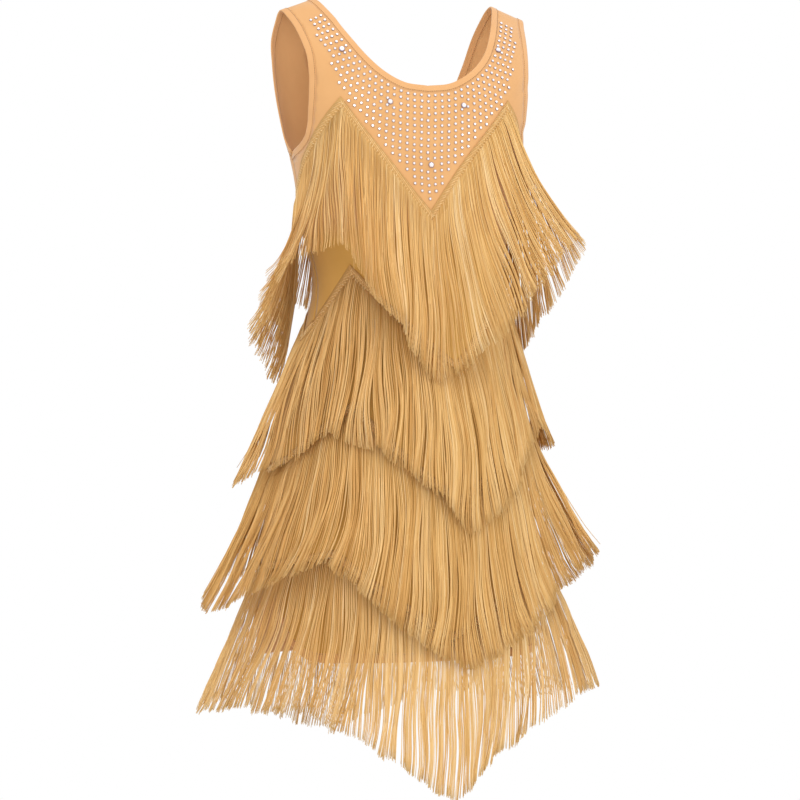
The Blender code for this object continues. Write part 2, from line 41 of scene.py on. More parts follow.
# The worn form: how the cloth lies when the dress is filled out
wornForm = {
    # run down the cloth, drop, half width, front depth, back depth, corner power, turn, shift
    "levels": [
        (0, 0, 0.162, 0, 0, 3.2, 0, 0),
        (0.012, 0.004, 0.162, 0.011, 0.011, 3.2, 0, 0),
        (0.035, 0.019, 0.163, 0.029, 0.026, 3.2, 0, 0),
        (0.07, 0.044, 0.163, 0.055, 0.046, 3.1, -1, 0),
        (0.11, 0.075, 0.16, 0.079, 0.063, 2.9, -2, 0.001),
        (0.15, 0.11, 0.156, 0.096, 0.077, 2.7, -4, 0.002),
        (0.2, 0.158, 0.146, 0.109, 0.088, 2.5, -6, 0.002),
        (0.25, 0.207, 0.134, 0.115, 0.094, 2.3, -7, 0.002),
        (0.29, 0.247, 0.129, 0.113, 0.093, 2.2, -6, 0.003),
        (0.34, 0.295, 0.1225, 0.1, 0.084, 2.1, -1, 0.004),
        (0.385, 0.339, 0.118, 0.091, 0.08, 2.1, 5, 0.005),
        (0.44, 0.393, 0.128, 0.095, 0.09, 2.1, 11, 0.004),
        (0.5, 0.45, 0.145, 0.106, 0.105, 2.1, 15, 0.002),
        (0.56, 0.509, 0.159, 0.115, 0.116, 2.2, 16, -0.002),
        (0.64, 0.588, 0.168, 0.12, 0.119, 2.2, 15, -0.005),
        (0.72, 0.668, 0.1725, 0.122, 0.119, 2.2, 13, -0.007),
        (0.8, 0.748, 0.175, 0.124, 0.121, 2.2, 12, -0.009),
        (0.86, 0.808, 0.176, 0.125, 0.122, 2.2, 11, -0.01),
    ],
    "strapSlope": 0.38,         # fall of the strap towards the arm, for each metre past slopeFrom
    "slopeFrom": 0.105,
    "slopeEndsAtRun": 0.110,
    "hemDrop": 0.784,
    "hemSideRise": 0.094,       # how much higher the hem lies at the side seams
    "hemRiseFrom": 50.0,
    "sideSeam": 90.0,
    "seamMargin": 0.15,
    "dropSteps": 400,           # points at which the drop curve is worked out
    "edgePower": 1.25,          # above 1, the points of an opening's edge crowd towards the strap
}

# Where the panels end: half the width at each drop below the shoulder fold
openingEdges = {
    "neckFront": [(0.121, 0), (0.109, 0.027), (0.096, 0.053), (0.0785, 0.08),
                  (0.0565, 0.101), (0.03, 0.115), (0, 0.119)],
    "neckBack": [(0.121, 0), (0.113, 0.035), (0.103, 0.075), (0.087, 0.11),
                 (0.064, 0.136), (0.034, 0.151), (0, 0.156)],
    "armFront": [(0.148, 0), (0.139, 0.034), (0.132, 0.075), (0.1295, 0.112),
                 (0.129, 0.148), (0.1305, 0.176), (0.138, 0.194)],
    "armBack": [(0.148, 0), (0.151, 0.034), (0.1525, 0.075), (0.1495, 0.112),
                (0.144, 0.148), (0.139, 0.176), (0.138, 0.194)],
}

# Soft creases: from (around, run) to (around, run), half width, height. A minus height is a trough.
clothCreases = {
    "front": [
        (80, 0.215, 46, 0.196, 0.007, -0.0016), (84, 0.232, 52, 0.232, 0.0085, 0.0014),
        (-80, 0.212, -50, 0.188, 0.0065, -0.0015), (-85, 0.236, -56, 0.24, 0.009, 0.0015),
        (62, 0.12, 40, 0.168, 0.008, -0.001), (-61, 0.128, -38, 0.16, 0.0075, -0.0011),
        (-86, 0.352, -30, 0.372, 0.008, -0.0018), (-70, 0.392, -12, 0.402, 0.0095, 0.0016),
        (85, 0.366, 34, 0.388, 0.008, -0.0017), (74, 0.404, 22, 0.392, 0.009, 0.0015),
        (-40, 0.47, -52, 0.7, 0.013, -0.002), (-8, 0.52, -3, 0.742, 0.015, 0.0018),
        (30, 0.48, 42, 0.69, 0.012, -0.0019), (66, 0.54, 74, 0.728, 0.011, 0.0017),
        (-74, 0.56, -80, 0.742, 0.0115, 0.0018),
    ],
    "back": [
        (82, 0.22, 44, 0.206, 0.008, -0.0015), (-83, 0.226, -48, 0.214, 0.0075, -0.0014),
        (84, 0.356, 20, 0.384, 0.0085, -0.0019), (-82, 0.36, -24, 0.378, 0.008, -0.0018),
        (60, 0.402, -10, 0.41, 0.01, 0.0016), (-70, 0.42, -18, 0.436, 0.009, 0.0013),
        (36, 0.5, 46, 0.712, 0.013, -0.0019), (-34, 0.49, -44, 0.69, 0.0125, -0.002),
        (4, 0.54, 0, 0.74, 0.015, 0.0017), (-70, 0.56, -76, 0.74, 0.0115, 0.0016),
        (68, 0.552, 76, 0.73, 0.012, 0.0017),
    ],
    "metresAround": 0.25,       # length of cloth from the centre line to the side seam
    "endShare": 0.05,           # a crease starts and ends with this share of its taper
    "taperPower": 0.8,
}


def unitVectors(vectors):
    # each vector divided by its own length
    return vectors / np.linalg.norm(vectors, axis=-1, keepdims=True)


def smoothCurve(x, knots, values):
    # cubic through the knots, whose slope at each knot is that of its two neighbours
    slopes = np.gradient(values, knots)
    x = np.asarray(x, float)
    left = np.clip(np.searchsorted(knots, x) - 1, 0, len(knots) - 2)
    step = knots[left + 1] - knots[left]
    t = (x - knots[left]) / step
    rise = (2 * t**3 - 3 * t**2 + 1) * values[left] + (3 * t**2 - 2 * t**3) * values[left + 1]
    bend = (t**3 - 2 * t**2 + t) * slopes[left] + (t**3 - t**2) * slopes[left + 1]
    return rise + bend * step


def runningSum(steps):
    # 0, then the sum of the steps so far after each one
    return np.concatenate([[0], np.cumsum(steps)])


levelColumns = np.array(wornForm["levels"]).T
formRuns = np.concatenate([-levelColumns[0][:0:-1], levelColumns[0]])
formDrop, formWidth, formCorner, formTurn, formShift = (
    np.concatenate([column[:0:-1], column]) for column in levelColumns[[1, 2, 5, 6, 7]])
formDepth = np.concatenate([levelColumns[4][:0:-1], -levelColumns[3]])
fineRuns = np.linspace(0.0, levelColumns[0][-1], wornForm["dropSteps"])
fineDrops = smoothCurve(fineRuns, formRuns, formDrop)


def runAtDrop(drop):
    # the run whose drop this is, read back from the drop curve
    return np.interp(drop, fineDrops, fineRuns)


def clothSurface(around, run):
    # x = width * sin(a)^(2/corner), y = depth * cos(a)^(2/corner), then turned and shifted.
    # Past 90 degrees the point goes on to the other side of the dress.
    around, run = np.broadcast_arrays(np.asarray(around, float), np.asarray(run, float))
    seam = wornForm["sideSeam"]
    pastSeam = np.abs(around) > seam
    run = np.where(pastSeam, -run, run)
    around = np.where(pastSeam, np.sign(around) * 2 * seam - around, around)
    drop, width, depth, corner, turn, shift = (
        smoothCurve(run, formRuns, column)
        for column in (formDrop, formWidth, formDepth, formCorner, formTurn, formShift))
    angle = np.radians(around)
    x = width * np.sign(angle) * np.abs(np.sin(angle)) ** (2 / corner)
    y = depth * np.abs(np.cos(angle)) ** (2 / corner)
    fade = np.clip(1 - np.abs(run) / wornForm["slopeEndsAtRun"], 0, 1)
    z = -drop - wornForm["strapSlope"] * fade * np.maximum(0, np.abs(x) - wornForm["slopeFrom"])
    turn = np.radians(turn)
    return np.stack([x * np.cos(turn) - y * np.sin(turn) + shift,
                     x * np.sin(turn) + y * np.cos(turn), z], axis=-1)


def clothNormal(around, run, angleStep=0.5, runStep=0.0005):
    # outward normal: the step down the cloth crossed with the step round it
    across = (clothSurface(np.add(around, angleStep), run)
              - clothSurface(np.subtract(around, angleStep), run))
    down = clothSurface(around, np.add(run, runStep)) - clothSurface(around, np.subtract(run, runStep))
    return unitVectors(np.cross(down, across))


def creaseHeight(around, run):
    # sum over the creases of height * exp(-(distance / half width)^2) * sin(pi * share along)^power
    around, run = np.broadcast_arrays(np.asarray(around, float), np.asarray(run, float))
    scale = clothCreases["metresAround"] / wornForm["sideSeam"]
    points = np.stack([around * scale, np.abs(run)], axis=-1)
    height = np.zeros(around.shape)
    end = clothCreases["endShare"]
    for side, rows in ((run >= 0, clothCreases["front"]), (run < 0, clothCreases["back"])):
        for startAround, startRun, endAround, endRun, halfWidth, rise in rows:
            start = np.array([startAround * scale, startRun])
            line = np.array([endAround * scale, endRun]) - start
            share = np.clip((points - start) @ line / (line @ line), 0, 1)
            away = np.linalg.norm(points - start - share[..., None] * line, axis=-1)
            taper = np.sin(np.pi * (share * (1 - 2 * end) + end)) ** clothCreases["taperPower"]
            height += side * rise * taper * np.exp(-((away / halfWidth) ** 2))
    return height


def clothPoint(around, run, lift=0.0):
    # the surface with its creases, moved out along its normal
    height = creaseHeight(around, run) + lift
    return clothSurface(around, run) + height[..., None] * clothNormal(around, run)


def aroundAtWidth(halfWidth, run):
    # the inverse of x = width * sin(a)^(2/corner)
    share = np.clip(halfWidth / smoothCurve(run, formRuns, formWidth), 0, 1)
    return np.degrees(np.arcsin(share ** (smoothCurve(run, formRuns, formCorner) / 2)))


def hemDropAt(around):
    # drop at the centre - side rise * share^3, the share growing from hemRiseFrom to the seam
    span = wornForm["sideSeam"] - wornForm["hemRiseFrom"]
    share = np.clip((np.abs(around) - wornForm["hemRiseFrom"]) / span, 0, 1)
    return wornForm["hemDrop"] - wornForm["hemSideRise"] * share**3


def edgeTable(name):
    # half widths and drops of an edge, and how far along it each of them lies
    halfWidth, drop = np.array(openingEdges[name]).T
    return halfWidth, drop, runningSum(np.hypot(np.diff(halfWidth), np.diff(drop)))


def edgeCurve(name, count):
    # (around, run) down a neck or arm edge, a smooth curve through its table by arc length
    halfWidth, drop, knots = edgeTable(name)
    places = np.linspace(0, 1, count) ** wornForm["edgePower"] * knots[-1]
    run = runAtDrop(smoothCurve(places, knots, drop))
    around = aroundAtWidth(smoothCurve(places, knots, halfWidth), run)
    if halfWidth[-1] > 0:
        around[-1] = wornForm["sideSeam"]
    return around, run


# Meshes from arrays of corners and faces
def facesOutward(corners, faces):
    # a closed shell's signed volume is the sum of its corner triangles' triple products
    volume = 0.0
    for group in faces:
        for second in range(1, group.shape[1] - 1):
            a, b, c = (corners[group[:, k]] for k in (0, second, second + 1))
            volume += np.sum(np.cross(a, b) * c)
    return faces if volume > 0 else [group[:, ::-1] for group in faces]


def meshFromArrays(name, corners, faces, uv=None, smooth=True):
    # corners (n, 3); faces, a list of (m, k) index arrays; uv, one pair for each corner
    loops = np.concatenate([group.ravel() for group in faces]).astype(np.int32)
    sizes = np.concatenate([np.full(len(group), group.shape[1]) for group in faces])
    starts = runningSum(sizes[:-1]).astype(np.int32)
    mesh = bpy.data.meshes.new(name)
    mesh.vertices.add(len(corners))
    mesh.vertices.foreach_set("co", np.asarray(corners, np.float32).ravel())
    mesh.loops.add(len(loops))
    mesh.loops.foreach_set("vertex_index", loops)
    mesh.polygons.add(len(sizes))
    mesh.polygons.foreach_set("loop_start", starts)
    mesh.update(calc_edges=True)
    mesh.polygons.foreach_set("use_smooth", np.full(len(sizes), smooth))
    if uv is not None:
        layer = mesh.uv_layers.new(name="UVMap")
        layer.data.foreach_set("uv", np.asarray(uv, np.float32)[loops].ravel())
    mesh.validate()
    return mesh


def placed(name, data):
    # a new object in the scene, at the origin and unturned
    thing = bpy.data.objects.new(name, data)
    bpy.context.scene.collection.objects.link(thing)
    return thing


def addPiece(name, shape, materials, nodes=(), smooth=True):
    # a piece on the part's one body, with its materials, and in place of the CAD nodes that it stands
    # for
    mesh = meshFromArrays(name, *shape, smooth=smooth)
    piece = placed(name, mesh)
    for material in materials:
        mesh.materials.append(material)
    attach(piece, "root")
    if nodes:
        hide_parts(*nodes)
    return piece


def carriedProfile(path, across, normal, profile, closed):
    # corner (i, j) = path[i] + profile[j].u * across[i] + profile[j].v * normal[i]
    count, ring = len(path), len(profile)
    u, v = profile[None, :, :1], profile[None, :, 1:]
    corners = path[:, None] + u * across[:, None] + v * normal[:, None]
    lengths = np.linalg.norm(np.roll(path, -1, axis=0) - path, axis=1)
    along = runningSum(lengths[:-1])
    outline = np.diff(profile * [np.linalg.norm(across[0]), 1.0], axis=0)
    roundIt = runningSum(np.linalg.norm(outline, axis=1))
    uv = np.stack(np.broadcast_arrays(roundIt[None, :], along[:, None]), axis=-1).reshape(-1, 2)
    i = np.arange(count if closed else count - 1)[:, None]
    j = np.arange(ring)[None, :]
    here, ahead, jNext = i * ring, ((i + 1) % count) * ring, (j + 1) % ring
    quads = np.stack(np.broadcast_arrays(here + j, ahead + j, ahead + jNext, here + jNext), axis=-1)
    faces = [quads.reshape(-1, 4)]
    if not closed:
        faces.append(np.arange(ring)[None, :])
        faces.append(((count - 1) * ring + np.arange(ring))[None, ::-1])
    corners = corners.reshape(-1, 3)
    return corners, facesOutward(corners, faces), uv


def roundedBar(start, end, middle, thickness, power, points):
    # superellipse: u = centre + half width * cos^(2/power), v = middle + half thickness * sin^(2/power)
    turn = np.linspace(0, 2 * np.pi, points, endpoint=False)
    u = np.sign(np.cos(turn)) * np.abs(np.cos(turn)) ** (2 / power)
    v = np.sign(np.sin(turn)) * np.abs(np.sin(turn)) ** (2 / power)
    return np.stack([(start + end) / 2 + (end - start) / 2 * u, middle + thickness / 2 * v], axis=-1)


def leafStitches(centres, along, across, normal, length, width, height, tone):
    # each stitch is a leaf of six corners: tips at centre -+ along * length / 2, and four round its
    # middle at centre +- across * width / 2, centre + normal * height and centre - normal * 0.6 height
    tips = [centres - along * length / 2, centres + along * length / 2]
    waist = [centres + across * width / 2, centres + normal * height,
             centres - across * width / 2, centres - normal * height * 0.6]
    corners = np.stack(tips + waist, axis=1)
    base = np.arange(len(centres))[:, None] * 6
    ring = np.array([2, 3, 4, 5])
    following = np.roll(ring, -1)
    leaf = np.concatenate([np.stack([np.zeros(4, int), following, ring], axis=1),
                           np.stack([np.ones(4, int), ring, following], axis=1)])
    faces = (base[:, :, None] + leaf[None]).reshape(-1, 3)
    share = np.broadcast_to([0.0, 1.0, 0.5, 0.5, 0.5, 0.5], (len(centres), 6))
    uv = np.stack([np.repeat(tone, 6), share.ravel()], axis=-1)
    corners = corners.reshape(-1, 3)
    return corners, facesOutward(corners, [faces])[0], uv


def joined(parts):
    # several (corners, faces, uv) put end to end as one: index = own index + corners before it
    offsets = np.cumsum([0] + [len(corners) for corners, _, _ in parts[:-1]])
    return (np.concatenate([corners for corners, _, _ in parts]),
            [np.concatenate([faces + offset for (_, faces, _), offset in zip(parts, offsets)])],
            np.concatenate([uv for _, _, uv in parts]))


# Materials and the two node groups that they share
finishes = {
    # low and high are the two tones of the mottle; the darker, more golden pair further down is painted
    # shade and golden bounce light from the fringe above the cloth
    "cloth": {"low": (0.690, 0.365, 0.142), "high": (0.725, 0.395, 0.162), "sheen": 0.25,
              "roughness": 0.72, "fringeShadeTones": ((0.620, 0.335, 0.072), (0.655, 0.360, 0.085))},
    "inside": {"low": (0.680, 0.370, 0.150), "high": (0.720, 0.400, 0.170), "sheen": 0.15,
               "roughness": 0.80},
    "binding": {"low": (0.695, 0.365, 0.145), "high": (0.730, 0.395, 0.165), "sheen": 0.25,
                "roughness": 0.66},
    "fringeShadeFrom": (-0.262, -0.300),       # heights between which the painted fringe shade comes in
    "knitBump": 0.25,
    "threadBump": 0.35,
    "bumpDepth": 0.0002,
    "loopsPerMetre": 850.0,
    "loopShare": 0.35,          # height of the loops beside that of their columns
    "mottleSize": 22.0,
    "threadRoughness": 0.55,
    "drift": 5.0,               # how often a thread's tone changes down its length
    "driftAcross": 40.0,        # and how much more from thread to thread
    "driftShare": 0.5,
    "fringe": {"beads": 150.0, "sheen": 0.0,
               "stops": [(0.0, (0.60, 0.315, 0.085)), (0.35, (0.77, 0.450, 0.150)),
                         (0.7, (0.88, 0.580, 0.245)), (1.0, (0.96, 0.720, 0.400))]},
    "braid": {"beads": 3.0, "sheen": 0.0,
              "stops": [(0.0, (0.50, 0.270, 0.080)), (0.4, (0.78, 0.485, 0.190)),
                        (1.0, (0.93, 0.690, 0.370))]},
    # the topstitch thread is dark: partly its own tone, partly a painted shadow line along the seams
    "stitch": {"beads": 3.0, "sheen": 0.10,
               "stops": [(0.0, (0.28, 0.140, 0.050)), (1.0, (0.40, 0.210, 0.080))]},
    # painted reflections of a stone, from its white table to its dark back
    "stoneReflectionStops": [(0.0, (1.00, 0.99, 1.00)), (0.40, (0.97, 0.95, 0.98)),
                   (0.66, (0.48, 0.39, 0.50)), (1.0, (0.12, 0.08, 0.13))],
}


def groupTree(name, inputs, outputs):
    # an empty node group with the sockets named, and its input and output nodes
    tree = bpy.data.node_groups.new(name, "ShaderNodeTree")
    for socketName, kind, value in inputs:
        socket = tree.interface.new_socket(socketName, in_out="INPUT", socket_type=kind)
        if value is not None:
            socket.default_value = value
    for socketName, kind in outputs:
        tree.interface.new_socket(socketName, in_out="OUTPUT", socket_type=kind)
    return tree, tree.nodes.new("NodeGroupInput"), tree.nodes.new("NodeGroupOutput")


def feed(tree, socket, value):
    # a number is set on the socket, and another socket is linked to it
    if isinstance(value, (int, float)):
        socket.default_value = value
    else:
        tree.links.new(value, socket)


def mathNode(tree, operation, *values):
    # one sum, whose values are numbers or sockets
    node = tree.nodes.new("ShaderNodeMath")
    node.operation = operation
    for socket, value in zip(node.inputs, values):
        feed(tree, socket, value)
    return node.outputs[0]


def noiseNode(tree, vector, scale, detail=3.0):
    # soft noise from 0 to 1, whose scale is a number or a socket
    node = tree.nodes.new("ShaderNodeTexNoise")
    tree.links.new(vector, node.inputs["Vector"])
    feed(tree, node.inputs["Scale"], scale)
    node.inputs["Detail"].default_value = detail
    return node.outputs["Fac"]


def makeKnitFace():
    # V-shaped loops in columns: a cosine across each column plus a sine whose phase bends with it
    tree, source, out = groupTree(
        "knitFace",
        [("Position", "NodeSocketVector", None), ("Loops per metre", "NodeSocketFloat", 1000.0),
         ("Mottle size", "NodeSocketFloat", 20.0)],
        [("Height", "NodeSocketFloat"), ("Mottle", "NodeSocketFloat")])
    split = tree.nodes.new("ShaderNodeSeparateXYZ")
    tree.links.new(source.outputs["Position"], split.inputs[0])
    columns = mathNode(tree, "MULTIPLY", split.outputs[0], source.outputs["Loops per metre"])
    rows = mathNode(tree, "MULTIPLY", split.outputs[1], source.outputs["Loops per metre"])
    fromMiddle = mathNode(tree, "SUBTRACT", mathNode(tree, "FRACT", columns), 0.5)
    bend = mathNode(tree, "ABSOLUTE", fromMiddle)
    phase = mathNode(tree, "MULTIPLY", mathNode(tree, "ADD", rows, bend), 2 * np.pi)
    loop = mathNode(tree, "MULTIPLY", mathNode(tree, "SINE", phase), finishes["loopShare"])
    wale = mathNode(tree, "COSINE", mathNode(tree, "MULTIPLY", fromMiddle, np.pi))
    tree.links.new(mathNode(tree, "ADD", loop, wale), out.inputs["Height"])
    coarse = noiseNode(tree, source.outputs["Position"], source.outputs["Mottle size"])
    tree.links.new(coarse, out.inputs["Mottle"])
    return tree


def makeThreadTwist():
    # a chain of small beads along the thread, and a slow drift of its tone
    tree, source, out = groupTree(
        "threadTwist",
        [("Thread UV", "NodeSocketVector", None), ("Beads", "NodeSocketFloat", 100.0),
         ("Drift", "NodeSocketFloat", 5.0)],
        [("Height", "NodeSocketFloat"), ("Tone", "NodeSocketFloat")])
    split = tree.nodes.new("ShaderNodeSeparateXYZ")
    tree.links.new(source.outputs["Thread UV"], split.inputs[0])
    beads = mathNode(tree, "MULTIPLY", split.outputs[1], source.outputs["Beads"])
    wave = mathNode(tree, "SINE", mathNode(tree, "MULTIPLY", beads, 2 * np.pi))
    tree.links.new(mathNode(tree, "MULTIPLY_ADD", wave, 0.5, 0.5), out.inputs["Height"])
    stretch = tree.nodes.new("ShaderNodeVectorMath")
    stretch.operation = "MULTIPLY"
    tree.links.new(source.outputs["Thread UV"], stretch.inputs[0])
    stretch.inputs[1].default_value = (finishes["driftAcross"], 1.0, 1.0)
    slow = noiseNode(tree, stretch.outputs[0], source.outputs["Drift"], 2.0)
    centred = mathNode(tree, "MULTIPLY", mathNode(tree, "SUBTRACT", slow, 0.5), finishes["driftShare"])
    tree.links.new(mathNode(tree, "ADD", split.outputs[0], centred), out.inputs["Tone"])
    return tree


knitFace = makeKnitFace()
threadTwist = makeThreadTwist()


def uvOutput(tree):
    # the piece's own UV map
    return tree.nodes.new("ShaderNodeTexCoord").outputs["UV"]


def newMaterial(name, **sockets):
    # a material whose shader has the named sockets set
    material = bpy.data.materials.new(name)
    material.use_nodes = True
    shader = material.node_tree.nodes["Principled BSDF"]
    for socketName, value in sockets.items():
        shader.inputs[socketName.replace("_", " ")].default_value = value
    return material, material.node_tree, shader


def placeGroup(tree, group, **values):
    # a node of the group with its own values, which reads the piece's UV map by its first socket
    node = tree.nodes.new("ShaderNodeGroup")
    node.node_tree = group
    tree.links.new(uvOutput(tree), node.inputs[0])
    for socketName, value in values.items():
        node.inputs[socketName.replace("_", " ")].default_value = value
    return node


def colourRamp(tree, factor, stops):
    # colour = straight mix of the two stops beside the factor
    ramp = tree.nodes.new("ShaderNodeValToRGB")
    elements = ramp.color_ramp.elements
    elements[0].position, elements[0].color = stops[0][0], (*stops[0][1], 1.0)
    elements[1].position, elements[1].color = stops[-1][0], (*stops[-1][1], 1.0)
    for position, colour in stops[1:-1]:
        elements.new(position).color = (*colour, 1.0)
    tree.links.new(factor, ramp.inputs[0])
    return ramp.outputs[0]


def bumpTo(tree, shader, height, strength):
    # the shader's normal, tilted by the slope of the height
    bump = tree.nodes.new("ShaderNodeBump")
    bump.inputs["Strength"].default_value = strength
    bump.inputs["Distance"].default_value = finishes["bumpDepth"]
    tree.links.new(height, bump.inputs["Height"])
    tree.links.new(bump.outputs[0], shader.inputs["Normal"])


def mottled(tree, factor, low, high):
    # low and high in soft patches, with the middle of the noise spread over both
    return colourRamp(tree, factor, [(0.3, low), (0.7, high)])


def knitMaterial(name, low, high, sheen, roughness, fringeShadeTones=None):
    # knit loops as bump, and a mottled tone between low and high, which lower down can go over to a
    # darker golden pair of painted shade
    material, tree, shader = newMaterial(name, Roughness=roughness, Sheen_Weight=sheen,
                                         Sheen_Roughness=0.5, Specular_IOR_Level=0.25)
    knit = placeGroup(tree, knitFace, Loops_per_metre=finishes["loopsPerMetre"],
                      Mottle_size=finishes["mottleSize"])
    colour = mottled(tree, knit.outputs["Mottle"], low, high)
    if fringeShadeTones:
        # lower down, by the height on the dress, the tone goes over to the darker golden pair: painted
        # shade and bounce light from the fringe
        split = tree.nodes.new("ShaderNodeSeparateXYZ")
        tree.links.new(tree.nodes.new("ShaderNodeTexCoord").outputs["Object"], split.inputs[0])
        height = tree.nodes.new("ShaderNodeMapRange")
        height.interpolation_type = "SMOOTHSTEP"
        height.inputs["From Min"].default_value = finishes["fringeShadeFrom"][0]
        height.inputs["From Max"].default_value = finishes["fringeShadeFrom"][1]
        tree.links.new(split.outputs[2], height.inputs["Value"])
        mix = tree.nodes.new("ShaderNodeMix")
        mix.data_type = "RGBA"
        tree.links.new(height.outputs[0], mix.inputs[0])
        tree.links.new(colour, mix.inputs[6])
        tree.links.new(mottled(tree, knit.outputs["Mottle"], *fringeShadeTones), mix.inputs[7])
        colour = mix.outputs[2]
    tree.links.new(colour, shader.inputs["Base Color"])
    bumpTo(tree, shader, knit.outputs["Height"], finishes["knitBump"])
    return material


def threadMaterial(name, stops, beads, sheen):
    # beads of twist as bump, and the tone of each thread between the stops
    material, tree, shader = newMaterial(name, Roughness=finishes["threadRoughness"],
                                         Sheen_Weight=sheen, Sheen_Roughness=0.35,
                                         Specular_IOR_Level=0.25)
    twist = placeGroup(tree, threadTwist, Beads=beads, Drift=finishes["drift"])
    tree.links.new(colourRamp(tree, twist.outputs["Tone"], stops), shader.inputs["Base Color"])
    bumpTo(tree, shader, twist.outputs["Height"], finishes["threadBump"])
    return material


clothFace = knitMaterial("tanStretchKnit", **finishes["cloth"])
clothInside = knitMaterial("tanKnitInside", **finishes["inside"])
boundEdge = knitMaterial("tanBinding", **finishes["binding"])
fringeThread = threadMaterial("goldenFringeThread", **finishes["fringe"])
braidThread = threadMaterial("goldenBraidThread", **finishes["braid"])
stitchThread = threadMaterial("topstitchThread", **finishes["stitch"])


def stoneMaterial():
    # painted reflections: the table is white and the rim of facets turns from pink-violet to grey
    material, tree, shader = newMaterial("foiledRhinestone", Roughness=0.12, Metallic=0.45,
                                         Coat_Weight=1.0, Coat_Roughness=0.02)
    split = tree.nodes.new("ShaderNodeSeparateXYZ")
    tree.links.new(uvOutput(tree), split.inputs[0])
    colour = colourRamp(tree, split.outputs[0], finishes["stoneReflectionStops"])
    tree.links.new(colour, shader.inputs["Base Color"])
    return material


rhinestone = stoneMaterial()
print("materials made")


# The front and back panel
panelSizes = {
    "thickness": 0.0010,
    "rowSpacing": 0.0065,
    "columnSpacing": 2.5,
    "edgePoints": 64,
    "hemPoints": 60,
    "edgeClearance": 0.0035,
    "shoulderPoints": 9,
    "topRows": (0.002, 0.004, 0.0065, 0.0095, 0.013, 0.017, 0.022, 0.028, 0.034),
    "evenRowsFrom": 0.040,
    "strapRowsTo": 0.036,       # above this run, corners may lie nearer to the outline
    "strapClearance": 0.4,      # by this share of edgeClearance
    "foldGap": 0.00001,         # the least run, which tells the front from the back at the fold
    "flat": (0.50, 0.83),       # of either panel, with its flat areas in square metres
    "frontArea": 0.2817,
    "backArea": 0.2741,
}


def chartPoints(around, run):
    # the cloth laid flat: metres round from the centre line, metres down from the fold
    metres = np.asarray(around) / wornForm["sideSeam"] * clothCreases["metresAround"]
    return np.stack([metres, np.asarray(run)], axis=-1)


def panelOutline(neckName, armName):
    # up the neck edge, over the shoulder, down the arm edge and side seam, and back along the hem
    seam = wornForm["sideSeam"] - wornForm["seamMargin"] / 2
    neckAround, neckRun = edgeCurve(neckName, panelSizes["edgePoints"])
    armAround, armRun = edgeCurve(armName, panelSizes["edgePoints"])
    shoulder = np.linspace(neckAround[0], armAround[0], panelSizes["shoulderPoints"])[1:-1]
    sideEnd = runAtDrop(hemDropAt(seam))
    sideRows = int((sideEnd - armRun[-1]) / panelSizes["rowSpacing"])
    side = np.linspace(armRun[-1], sideEnd, sideRows + 1)[1:]
    hem = np.linspace(seam, 0, panelSizes["hemPoints"] + 1)[1:]
    around = np.concatenate([neckAround[::-1], shoulder, armAround, np.full(len(side), seam), hem])
    run = np.concatenate([neckRun[::-1], np.zeros(len(shoulder)), armRun, side,
                          runAtDrop(hemDropAt(hem))])
    around = np.minimum(around, seam)
    return chartPoints(np.concatenate([around, -around[-2:0:-1]]),
                       np.concatenate([run, run[-2:0:-1]]))


def keptInside(points, outline, clearance):
    # even-odd count of crossings, and the distance to the nearest edge of the outline
    starts, ends = outline, np.roll(outline, -1, axis=0)
    x, y = points[:, :1], points[:, 1:]
    crosses = (starts[:, 1] > y) != (ends[:, 1] > y)
    rise = np.where(crosses, ends[:, 1] - starts[:, 1], 1.0)
    at = starts[:, 0] + (y - starts[:, 1]) * (ends[:, 0] - starts[:, 0]) / rise
    within = np.sum(crosses & (x < at), axis=1) % 2 == 1
    points = points[within]
    edge = ends - starts
    share = np.sum((points[:, None] - starts) * edge, axis=2) / np.sum(edge**2, axis=1)
    nearest = starts + np.clip(share, 0, 1)[..., None] * edge
    away = np.min(np.linalg.norm(points[:, None] - nearest, axis=2), axis=1)
    limit = np.where(points[:, 1] < panelSizes["strapRowsTo"],
                     clearance * panelSizes["strapClearance"], clearance)
    return points[away > limit]


def makePanel(name, sign, neckName, armName):
    # a fine net of triangles over the flat panel, each corner then set on the worn surface
    outline = panelOutline(neckName, armName)
    evenRows = np.arange(panelSizes["evenRowsFrom"], outline[:, 1].max(), panelSizes["rowSpacing"])
    rows = np.concatenate([panelSizes["topRows"], evenRows])
    half = int(wornForm["sideSeam"] / panelSizes["columnSpacing"])
    columns = np.arange(-half, half + 1) * panelSizes["columnSpacing"]
    grid = chartPoints(*(g.ravel() for g in np.meshgrid(columns, rows)))
    kept = keptInside(grid, outline, panelSizes["edgeClearance"])
    flat = np.concatenate([outline, kept])
    edges = [(i, (i + 1) % len(outline)) for i in range(len(outline))]
    made = delaunay_2d_cdt([Vector(p) for p in flat], edges, [], 1, 1e-7)    # 1: inside the outline only
    flat = np.array([tuple(p) for p in made[0]])
    faces = np.array([tuple(face) for face in made[2]])
    around = flat[:, 0] / clothCreases["metresAround"] * wornForm["sideSeam"]
    run = sign * np.maximum(flat[:, 1], panelSizes["foldGap"])
    corners, normals = clothPoint(around, run), clothNormal(around, run)
    a, b, c = (corners[faces[:, k]] for k in range(3))
    facesBack = np.sum(np.cross(b - a, c - a) * normals[faces[:, 0]], axis=1) < 0
    faces[facesBack] = faces[facesBack][:, ::-1]
    piece = addPiece(name, (corners, [faces], flat), [clothFace, clothInside],
                     ["front_panel" if sign > 0 else "back_panel"])
    wall = piece.modifiers.new("cloth thickness", "SOLIDIFY")
    wall.thickness = panelSizes["thickness"]
    wall.offset = -1.0
    wall.material_offset = 1
    wall.use_rim = True
    area = np.sum(np.linalg.norm(np.cross(b - a, c - a), axis=1)) / 2
    print(name, len(corners), "corners, area", round(float(area), 4))
    return piece


frontCloth = makePanel("front_cloth", 1, "neckFront", "armFront")
backCloth = makePanel("back_cloth", -1, "neckBack", "armBack")


